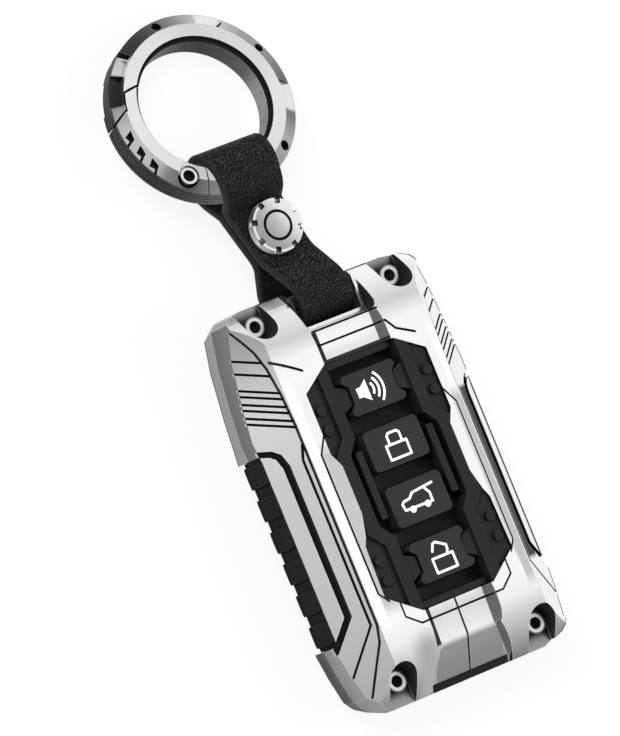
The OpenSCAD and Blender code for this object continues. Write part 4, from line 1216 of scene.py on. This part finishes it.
@dataclass(frozen=True)
class TrimPaint:
    """Painted reflections of the bright lip round the strap's slot: dark where it mirrors the leather beside
    it.

    Attributes:
        face: Painted reflection on the lip along Y.
        rest: The other places: the painted reflection of the leather beside it and painted shade on the
            walls.
    """

    face: Stops = ((34.0, 0.85), (36.5, 0.7), (41.7, 0.9))
    rest: Sequence[Patch] = (
        Patch("beside the leather", 0.03, x=(None, -6.4, 0.2), y=(34.9, None, 0.2)),
        Patch("walls", 0.12, nz=(None, 0.5, SOFT)),
    )

    def tone(self, s: Shader) -> Value:
        """The lip's painted reflection and shade at every point.

        Args:
            s: The shader it is made for.

        Returns:
            The tone.
        """
        p = s.spot()
        return lay(self.rest, p.y.curve(self.face), p)


def plain_tone(s: Shader) -> Value:
    """An even tone with faint clouds.

    Args:
        s: The shader it is made for.

    Returns:
        The tone.
    """
    return s.noise(9.0, 3.0) * 0.14 + 0.9


# Painted light and shade of each kind of metal piece; the plain kind has only faint clouds
PAINTERS: Dict[Paint, Callable[[Shader], Value]] = {
    Paint.PLAIN: plain_tone,
    Paint.SHELL: ShellPaint().tone,
    Paint.REAR: RearPaint().tone,
    Paint.RING: RingPaint().body_tone,
    Paint.BAND: RingPaint().band_tone,
    Paint.STUD: StudPaint().tone,
    Paint.SCREW: ScrewPaint().tone,
    Paint.TRIM: TrimPaint().tone,
}


@dataclass
class FinishShop:
    """Builds each finish once.

    Attributes:
        made: The materials already built, by slot.
    """

    made: Dict[Slot, bpy.types.Material] = field(default_factory=dict)

    def get(self, slot: Slot) -> bpy.types.Material:
        """The material of a slot.

        Args:
            slot: The slot.

        Returns:
            Its material, built on first use.
        """
        if slot not in self.made:
            finish = FINISHES[slot]
            if isinstance(finish, MetalFinish):
                self.made[slot] = self.metal(slot.value, finish)
            elif isinstance(finish, PolymerFinish):
                self.made[slot] = self.polymer(slot.value, finish)
            else:
                self.made[slot] = self.leather(slot.value, finish)
        return self.made[slot]

    @staticmethod
    def metal(name: str, finish: MetalFinish) -> bpy.types.Material:
        """Satin or polished metal with a fine grain and painted light and shade: a painted highlight on its
        edges, black where the shade is painted deepest.

        Args:
            name: Name of the material.
            finish: Its values.

        Returns:
            The material.
        """
        s = Shader(name)
        rough = s.noise(finish.cloud, 3.0).spread(finish.roughness - finish.spread,
                                                  finish.roughness + finish.spread)
        # The tone is painted light and shade, or faint clouds on plain pieces: it darkens the base colour and
        # the grazing reflection, and the darkest painted shade is no longer metal
        tone = PAINTERS[finish.paint](s)
        edge = s.soft_edges(s.relief(s.noise(finish.grain), finish.grain_depth), finish.edge)
        # Painted highlight on the softened edges
        if finish.paint is not Paint.PLAIN:
            highlighted = (tone + finish.edge_highlight).at_most(1.0)
            tone = tone.mix(highlighted, edge * tone.over(0.05, THIN) * finish.edge_highlight_share)
        grazing = (tone * finish.grazing[1] + finish.grazing[0]).at_most(1.0)
        s.coat(Metallic=tone.ramp(*finish.bare_from), Specular_IOR_Level=finish.sheen,
               Base_Color=s.tint(tone, finish.colour), Specular_Tint=s.tint(grazing, finish.colour),
               Roughness=rough + tone.under(0.03, 0.01) * finish.black_matt)
        return s.material

    @staticmethod
    def polymer(name: str, finish: PolymerFinish) -> bpy.types.Material:
        """Moulded plastic or rubber with a fine grain, handling marks, a painted highlight on its edges and
        painted shade in its hollows.

        Args:
            name: Name of the material.
            finish: Its values.

        Returns:
            The material.
        """
        s = Shader(name)
        cloud = s.noise(finish.cloud, 3.0)
        marks = tuple(min(1.0, c * finish.cloud_light) for c in finish.colour)
        colour = s.mix_colour(cloud.spread(0.0, finish.cloud_share), finish.colour, marks)
        edge = s.soft_edges(s.relief(s.noise(finish.grain), finish.grain_depth), finish.edge)
        # Painted highlight on the softened edges
        if finish.rim > 1.0:
            highlit_edge = tuple(c * finish.rim for c in finish.colour)
            colour = s.mix_colour(edge * finish.rim_highlight_share, colour, highlit_edge)
        sheen = finish.sheen
        # Painted shade in the hollows darkens the colour and the reflection
        if finish.hollow > 0:
            left = finish.deep + (1.0 - finish.deep) * s.openness(finish.hollow).ramp(*finish.open_from)
            colour = s.mix_colour(left, BLACK, colour)
            sheen = left * finish.sheen
        rough = cloud.spread(finish.roughness - finish.spread, finish.roughness + finish.spread)
        s.coat(Base_Color=colour, Roughness=rough, Specular_IOR_Level=sheen)
        return s.material

    @staticmethod
    def cut_edge(name: str, finish: LeatherFinish) -> bpy.types.Material:
        """The painted cut edge of the leather.

        Args:
            name: Name of the material.
            finish: Its values.

        Returns:
            The material.
        """
        s = Shader(name)
        cloud = s.noise(5.0, 4.0)
        light = tuple(c * finish.edge_light for c in finish.edge_colour)
        s.coat(Base_Color=s.mix_colour(cloud.spread(0.0, 1.0), finish.edge_colour, light),
               Roughness=cloud.spread(*finish.edge_roughness), Specular_IOR_Level=0.2)
        s.relief(s.noise(0.25, 3.0), 0.02)
        return s.material

    @staticmethod
    def leather(name: str, finish: LeatherFinish) -> bpy.types.Material:
        """Grained leather with a painted raking highlight over its pebbles.

        Args:
            name: Name of the material.
            finish: Its values.

        Returns:
            The material.
        """
        s = Shader(name)
        place = s.add("ShaderNodeMapping", Vector=s.coords.outputs["Object"],
                      Scale=(1.0 / MM,) * 3).outputs["Vector"]
        warp = s.add("ShaderNodeTexNoise", Vector=place, Scale=finish.bends, Detail=2.0).outputs["Color"]
        bent = s.step("ShaderNodeVectorMath", "MULTIPLY_ADD", warp, finish.bent, place).outputs[0]
        aside = s.step("ShaderNodeVectorMath", "ADD", bent, finish.raking).outputs[0]
        distances = []
        for where in (bent, aside):
            cells = s.add("ShaderNodeTexVoronoi", Vector=where, Scale=1.0 / finish.pebble)
            cells.feature = "SMOOTH_F1"
            distances.append(Value(s, cells.outputs["Distance"]))
        pebble = distances[0].spread(1.0, 0.0, 0.1, 0.75)
        pores = s.noise(finish.pore)
        crease = s.noise(finish.crease, 3.0, (0.35, 1.6, 1.0), (4.0, 2.8, 5.2))
        of_pebble, of_pore, of_crease = finish.heights
        s.relief(pebble * of_pebble + (pores * of_pore + crease * of_crease), finish.pebble_depth)
        # Painted raking light: the side of each pebble towards it is painted lighter, in colour and in
        # reflection; grain below holds this painted highlight
        raked = (distances[1] - distances[0]) * finish.raked + pores.spread(0.0, 0.5)
        grain = raked.at_least(0.0) ** finish.sharp
        grain = grain * s.noise(5.0, 4.0).spread(0.85, 1.1) * crease.spread(0.7, 1.2)
        lit = grain.at_most(1.0)
        valley, light = (tuple(c * factor for c in finish.colour) for factor in (finish.valley, finish.light))
        s.coat(Base_Color=s.mix_colour(lit, valley, light),
               Roughness=pebble.spread(finish.roughness + 0.12, finish.roughness - 0.06, 0.0, 1.0),
               Specular_IOR_Level=lit * finish.sheen[1] + finish.sheen[0])
        return s.material


def slot_of(node: str) -> Slot:
    """The record's slot of a CAD node.

    Args:
        node: Name of the node.

    Returns:
        Its slot.
    """
    for entry in frame["record"]["subparts"]:
        if entry["node"] == node:
            return Slot(entry["material_slot"])
    raise KeyError(node)


@dataclass
class HardPieces:
    """The CAD pieces that are shown as they are, with their finishes.

    Attributes:
        shop: Where the finishes come from.
        skip: Nodes that another piece replaces.
    """

    shop: FinishShop
    skip: Sequence[str] = ("strap",)

    def dress(self) -> None:
        """Gives every shown CAD node its finish."""
        for name, node in frame["nodes"].items():
            if name in self.skip:
                continue
            slot = slot_of(name)
            node.data.materials.clear()
            node.data.materials.append(self.shop.get(slot))
            log.info("%s gets %s", name, slot.value)


def mesh_object(name: str, points: Sequence[Point], faces: Sequence[Sequence[int]],
                materials: Sequence[bpy.types.Material], indices: Optional[Sequence[int]] = None,
                smooth: bool = True) -> bpy.types.Object:
    """Makes a mesh object.

    Args:
        name: Name of the piece.
        points: Its corners, in metres.
        faces: Its faces.
        materials: Its materials.
        indices: Material index of each face, or None for the first.
        smooth: Whether it is shaded smooth.

    Returns:
        The object, linked into the scene.
    """
    mesh = bpy.data.meshes.new(name)
    mesh.from_pydata([tuple(p) for p in points], [], [tuple(f) for f in faces])
    for material in materials:
        mesh.materials.append(material)
    for i, polygon in enumerate(mesh.polygons):
        polygon.use_smooth = smooth
        if indices:
            polygon.material_index = indices[i]
    mesh.update()
    obj = bpy.data.objects.new(name, mesh)
    bpy.context.scene.collection.objects.link(obj)
    return obj


@dataclass(frozen=True)
class GateTongue:
    """The dark tongue of the gate that closes the slanted split in the ring's outer wall.

    Attributes:
        shop: Where its finish comes from.
        ring: The ring's own frame.
        inner: Radius where it starts.
        outer: Radius where it ends.
        half: Half its thickness across the split.
        low: Its lower end over the ring's middle plane.
        high: Its upper end.
    """

    shop: FinishShop
    ring: RingPaint = RingPaint()
    inner: float = 17.9
    outer: float = 19.8
    half: float = 0.13
    low: float = -2.2
    high: float = 1.9

    def corner(self, r: float, aside: float, h: float) -> Point:
        """One corner of the tongue.

        Args:
            r: Its distance from the ring's axis, in millimetres.
            aside: Its offset across the split, in millimetres.
            h: Its height over the ring's middle plane, in millimetres.

        Returns:
            The corner, in metres.
        """
        turn = math.radians(BODY_SPLIT.angle_at(r))
        u, v = r * math.cos(turn), r * math.sin(turn)
        lean = math.atan2(BODY_SPLIT.lean / BODY_SPLIT.turn * math.radians(1.0) * r, 1.0)
        u -= aside * math.sin(turn + lean)
        v += aside * math.cos(turn + lean)
        c, w = math.cos(math.radians(self.ring.tilt)), math.sin(math.radians(self.ring.tilt))
        x, y, z = self.ring.centre
        return (x + u) * MM, (y + v * c + h * w) * MM, (z - v * w + h * c) * MM

    def build(self) -> bpy.types.Object:
        """Makes the tongue.

        Returns:
            The object, riding on the gate.
        """
        points = [self.corner(r, side, h) for h in (self.low, self.high)
                  for r, side in ((self.inner, -self.half), (self.outer, -self.half),
                                  (self.outer, self.half), (self.inner, self.half))]
        faces = [(0, 3, 2, 1), (4, 5, 6, 7), (0, 1, 5, 4), (1, 2, 6, 5), (2, 3, 7, 6), (3, 0, 4, 7)]
        tongue = mesh_object("gate_tongue", points, faces, [self.shop.get(Slot.BLACK_SCREW)], smooth=False)
        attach(tongue, "gate")
        log.info("gate_tongue rides on gate")
        return tongue


@dataclass(frozen=True)
class StrapShape:
    """Where the strap runs, in millimetres, matching the CAD part.

    Attributes:
        thickness: Thickness of the leather.
        bar: Centre of the cross bar in Y and Z.
        fold: Centre of the fold in Y and Z.
        stud: Centre of the strap screw in Y and Z.
        fold_x: How far the fold lies to the side.
        bar_w: Width at the bar.
        fold_w: Width at the fold.
        loop_bar: Half height of the loop round the bar.
        loop_ahead: How far the loop lies before the bar.
        loop_end: Where the loop's straight part ends.
        corner: Radius of the loop's corners.
        loop_fold: Radius of the fold.
        pinch: Half height between the leaves at the screw.
        pinch_near: Length of the pinched stretch before the screw.
        pinch_far: Length of the pinched stretch behind it.
        near_bend: Radius of the bends before the screw.
        far_bend: Radius of the bend behind it.
        end_y: Where the strap leaves the cover.
        edge: Radius of its rounded edges.
    """

    thickness: float = 1.9
    bar: Flat = (40.5, 8.8)
    fold: Flat = (68.868, 10.403)
    stud: Flat = (56.4, 9.6)
    fold_x: float = -5.6
    bar_w: float = 12.6
    fold_w: float = 14.6
    loop_bar: float = 7.45
    loop_ahead: float = 4.0
    loop_end: float = 41.9
    corner: float = 4.4
    loop_fold: float = 5.95
    pinch: float = 1.4
    pinch_near: float = 4.6
    pinch_far: float = 5.05
    near_bend: float = 4.0
    far_bend: float = 1.6
    end_y: float = 43.0
    edge: float = 0.55


@dataclass
class LeatherStrap:
    """The strap: one leather band looped round the bar and the ring.

    Attributes:
        shape: Where it runs.
        shop: Where its finish comes from.
        across: Faces across its width.
        spacing: Length of a face along it, in millimetres.
        bend_steps: Points along each bend.
        corner_steps: Points round each corner of the loop.
        fold_steps: Points round the fold.
        fold_turn: How far the fold's own arc turns to each side, in degrees.
        rim_angles: Places round a rounded edge, in degrees.
    """

    shape: StrapShape
    shop: FinishShop
    across: int = 12
    spacing: float = 0.55
    bend_steps: int = 14
    corner_steps: int = 8
    fold_steps: int = 28
    fold_turn: float = 84.0
    rim_angles: Sequence[float] = (60, 30, 0, -30, -60)

    @staticmethod
    def bend(c0: Flat, r0: float, c1: Flat, r1: float, side: int, n: int) -> List[Flat]:
        """An S bend of two arcs and the straight that touches both.

        Args:
            c0: Centre of the first arc.
            r0: Its radius.
            c1: Centre of the second arc.
            r1: Its radius.
            side: 1 where the second arc bulges up, -1 where it bulges down.
            n: Steps on each arc.

        Returns:
            Points in Y and Z.
        """
        dy, dz = c1[0] - c0[0], c1[1] - c0[1]
        turn = math.atan2(side * dz, dy) + math.asin((r0 + r1) / math.hypot(dy, dz))
        first = [(c0[0] + r0 * math.sin(turn * i / n), c0[1] - side * r0 * math.cos(turn * i / n))
                 for i in range(n + 1)]
        last = [(c1[0] - r1 * math.sin(turn * i / n), c1[1] + side * r1 * math.cos(turn * i / n))
                for i in range(n, -1, -1)]
        return first + last

    def leaf(self, side: int) -> List[Flat]:
        """One leaf from the bar's loop to the ring's fold.

        Args:
            side: 1 for the front leaf, -1 for the back leaf.

        Returns:
            Points in Y and Z.
        """
        s = self.shape
        flip = 2 * s.stud[0]
        pinched = s.stud[1] + side * s.pinch
        near = self.bend((s.stud[0] + s.pinch_near, pinched + side * s.near_bend), s.near_bend,
                         (flip - s.loop_end, s.bar[1] + side * (s.loop_bar - s.near_bend)), s.near_bend,
                         side, self.bend_steps)
        far = self.bend((s.stud[0] + s.pinch_far, pinched + side * s.far_bend), s.far_bend,
                        s.fold, s.loop_fold, side, self.bend_steps)
        return [(flip - y, z) for y, z in reversed(near)] + far

    @staticmethod
    def arc(centre: Flat, r: float, start: float, end: float, n: int) -> List[Flat]:
        """Points on an arc.

        Args:
            centre: Its centre.
            r: Its radius.
            start: Angle where it starts, in degrees.
            end: Angle where it ends, in degrees.
            n: Steps along it.

        Returns:
            Points in Y and Z.
        """
        turns = [math.radians(start + (end - start) * i / n) for i in range(n + 1)]
        return [(centre[0] + r * math.cos(a), centre[1] + r * math.sin(a)) for a in turns]

    def path(self) -> List[Flat]:
        """The strap's closed middle line.

        Returns:
            Points in Y and Z, evenly spread.
        """
        s = self.shape
        corner_y = s.bar[0] - s.loop_ahead - s.thickness / 2 + s.corner
        up, down = (s.bar[1] + side * (s.loop_bar - s.corner) for side in (1, -1))
        points = self.arc((corner_y, up), s.corner, 180, 90, self.corner_steps)
        points += self.leaf(1)
        points += self.arc(s.fold, s.loop_fold, self.fold_turn, -self.fold_turn, self.fold_steps)
        points += list(reversed(self.leaf(-1)))
        points += self.arc((corner_y, down), s.corner, 270, 180, self.corner_steps)
        return self.even(points, self.spacing)

    @staticmethod
    def even(points: List[Flat], step: float) -> List[Flat]:
        """Spreads points evenly round a closed line.

        Args:
            points: The line's corners.
            step: Distance from point to point.

        Returns:
            The new points.
        """
        closed = points + [points[0]]
        lengths = [math.dist(a, b) for a, b in zip(closed, closed[1:])]
        total = sum(lengths)
        count = max(8, round(total / step))
        out, i, run = [], 0, 0.0
        for k in range(count):
            target = total * k / count
            while run + lengths[i] < target:
                run += lengths[i]
                i += 1
            t = (target - run) / lengths[i] if lengths[i] else 0.0
            a, b = closed[i], closed[i + 1]
            out.append((a[0] + (b[0] - a[0]) * t, a[1] + (b[1] - a[1]) * t))
        return out

    def centre_x(self, y: float) -> float:
        """Sideways lie of the strap at a place along it."""
        s = self.shape
        t = min(1.0, max(0.0, (y - s.end_y + s.thickness) / (s.fold[0] - s.end_y)))
        return s.fold_x * (2 * t + t * t * (3 - 2 * t)) / 3

    def half_width(self, y: float) -> float:
        """Half the strap's width at a place along it."""
        s = self.shape
        t = max(0.0, (y - s.bar[0]) / (s.fold[0] - s.bar[0]))
        return (s.bar_w + (s.fold_w - s.bar_w) * t ** 2) / 2

    def section(self) -> List[Tuple[float, float, bool]]:
        """The band's cross-section, with rounded edges.

        Returns:
            Places across its width and through its thickness, from -1 to 1, and whether each is on an edge.
        """
        face = [-1 + 2 * k / self.across for k in range(self.across + 1)]
        rim = [math.sin(math.radians(a)) for a in self.rim_angles]
        return [*((u, 1.0, False) for u in face), *((1.0, v, True) for v in rim),
                *((-u, -1.0, False) for u in face), *((-1.0, -v, True) for v in rim)]

    def ring_of_points(self, at: Flat, out: Flat) -> List[Point]:
        """The corners of the band's cross-section at one place along it.

        Args:
            at: Place on the middle line in Y and Z.
            out: Direction through the thickness in Y and Z.

        Returns:
            The corners, in metres.
        """
        corners = []
        for u, v, on_edge in self.section():
            off = v * self.shape.thickness / 2
            y, z = at[0] + out[0] * off, at[1] + out[1] * off
            inset = self.shape.edge * (1 - math.sqrt(max(0.0, 1 - v * v)) if on_edge else 1)
            x = self.centre_x(y) + u * (self.half_width(y) - inset)
            corners.append((x * MM, y * MM, z * MM))
        return corners

    def build(self) -> bpy.types.Object:
        """Makes the leather band.

        Returns:
            The strap object.
        """
        path, section = self.path(), self.section()
        n, m = len(path), len(section)
        points: List[Point] = []
        for i, at in enumerate(path):
            dy, dz = (b - a for a, b in zip(path[i - 1], path[(i + 1) % n]))
            length = math.hypot(dy, dz)
            points += self.ring_of_points(at, (-dz / length, dy / length))
        faces, indices = [], []
        for i in range(n):
            j = (i + 1) % n
            for k in range(m):
                q = (k + 1) % m
                faces.append((i * m + k, i * m + q, j * m + q, j * m + k))
                indices.append(1 if section[k][2] or section[q][2] else 0)
        face = self.shop.get(Slot.LEATHER)
        cut = self.shop.cut_edge("leather_cut_edge", FINISHES[Slot.LEATHER])
        strap = mesh_object("strap_leather", points, faces, [face, cut], indices)
        log.info("strap_leather: %d points round the loop", n)
        strap.visible_glossy = False
        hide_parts("strap")
        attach(strap, "tail_strap")
        return strap


@dataclass(frozen=True)
class PhotoCamera:
    """The photograph's camera.

    Attributes:
        place: Where it stands, in metres.
        yaw: Its turn about Y, in radians.
        pitch: Its turn about X, in radians.
        roll: Its turn about its own axis, in radians.
        lens: Focal length, in millimetres.
        sensor: Width of the sensor, in millimetres.
        clip: Nearest and farthest distance it sees, in metres.
    """

    place: Point = (-0.69902, -0.01069, 1.31313)
    yaw: float = 0.4886921
    pitch: float = -0.0257085
    roll: float = 0.3891740
    lens: float = 357.2
    sensor: float = 36.0
    clip: Flat = (0.05, 20.0)

    def build(self) -> bpy.types.Object:
        """Makes the camera and uses it.

        Returns:
            The camera object.
        """
        data = bpy.data.cameras.new("photo_camera")
        data.lens = self.lens
        data.sensor_width = self.sensor
        data.clip_start, data.clip_end = self.clip
        camera = bpy.data.objects.new("photo_camera", data)
        turn = (Matrix.Rotation(self.roll, 3, "Z") @ Matrix.Rotation(self.pitch, 3, "X")
                @ Matrix.Rotation(self.yaw, 3, "Y"))
        camera.matrix_world = Matrix.Translation(self.place) @ turn.transposed().to_4x4()
        bpy.context.scene.collection.objects.link(camera)
        bpy.context.scene.camera = camera
        return camera


@dataclass(frozen=True)
class Lamp:
    """An area lamp aimed at a point.

    Attributes:
        name: Name of the lamp.
        place: Where it hangs, in metres.
        target: What it is aimed at, in metres.
        size: Its width and height, in metres.
        watts: Its power.
    """

    name: str
    place: Point
    target: Point
    size: Flat
    watts: float

    def build(self) -> bpy.types.Object:
        """Hangs the lamp.

        Returns:
            The lamp object.
        """
        data = bpy.data.lights.new(self.name, "AREA")
        data.shape = "RECTANGLE"
        data.size, data.size_y = self.size
        data.energy = self.watts
        lamp = bpy.data.objects.new(self.name, data)
        lamp.location = self.place
        aim = Vector(self.target) - Vector(self.place)
        lamp.rotation_euler = aim.to_track_quat("-Z", "Y").to_euler()
        lamp.visible_glossy = False
        bpy.context.scene.collection.objects.link(lamp)
        return lamp


@dataclass
class Studio:
    """Lamps, a white surround and a white table.

    Attributes:
        lamps: The lamps.
        world_level: Strength of the even light all round.
        table_half: Half the table's width, in metres.
        table_gap: How far the table lies below the cover, in metres.
        table_grey: Its own grey.
        table_glow: Share of plain white in its look; the rest shows the shadow.
        table_roughness: Its roughness.
    """

    lamps: Sequence[Lamp] = (
        Lamp("key_lamp", (-0.5, 0.5, 0.9), (0.0, 0.02, 0.01), (0.5, 0.5), 9.0),
        Lamp("fill_lamp", (0.6, -0.3, 0.7), (0.0, 0.02, 0.01), (0.5, 0.4), 4.0),
    )
    world_level: float = 0.55
    table_half: float = 1.5
    table_gap: float = 0.0002
    table_grey: Colour = (0.8, 0.8, 0.8)
    table_glow: float = 0.88
    table_roughness: float = 0.9

    def build(self) -> None:
        """Sets up the light, the floor and the view settings."""
        bpy.context.scene.view_settings.view_transform = "Standard"
        for lamp in self.lamps:
            lamp.build()
        self.world()
        self.floor()

    def world(self) -> None:
        """A plain grey light all round, white where it is seen directly or in a reflection."""
        world = bpy.data.worlds.new("studio_world")
        bpy.context.scene.world = world
        world.use_nodes = True
        nodes, links = world.node_tree.nodes, world.node_tree.links
        nodes.clear()
        rays = nodes.new("ShaderNodeLightPath").outputs
        total = rays["Is Camera Ray"]
        for name in ("Is Glossy Ray", "Is Transmission Ray"):
            add = nodes.new("ShaderNodeMath")
            add.operation = "ADD"
            add.use_clamp = True
            links.new(total, add.inputs[0])
            links.new(rays[name], add.inputs[1])
            total = add.outputs[0]
        mix = nodes.new("ShaderNodeMixShader")
        links.new(total, mix.inputs[0])
        for socket, strength in zip(mix.inputs[1:], (self.world_level, 1.0)):
            light = nodes.new("ShaderNodeBackground")
            light.inputs["Color"].default_value = (*WHITE, 1.0)
            light.inputs["Strength"].default_value = strength
            links.new(light.outputs[0], socket)
        links.new(mix.outputs[0], nodes.new("ShaderNodeOutputWorld").inputs["Surface"])

    def floor(self) -> None:
        """A white table that keeps a faint shadow."""
        s = Shader("white_table")
        s.coat(Base_Color=self.table_grey, Roughness=self.table_roughness, Specular_IOR_Level=0.0)
        glow = s.add("ShaderNodeEmission", Color=WHITE, Strength=1.0)
        mix = s.add("ShaderNodeMixShader", Fac=self.table_glow)
        for socket, node in zip(mix.inputs[1:], (s.surface, glow)):
            s.plug(socket, node.outputs[0])
        s.plug(s.output.inputs["Surface"], mix.outputs[0])
        half = self.table_half
        corners = [(-half, -half, 0), (half, -half, 0), (half, half, 0), (-half, half, 0)]
        table = mesh_object("white_table", corners, [(0, 1, 2, 3)], [s.material], smooth=False)
        table.location.z = -self.table_gap


def main() -> None:
    """Builds the whole picture."""
    shop = FinishShop()
    HardPieces(shop).dress()
    GateTongue(shop).build()
    LeatherStrap(StrapShape(), shop).build()
    Studio().build()
    PhotoCamera().build()


if __name__ == "__main__":
    main()
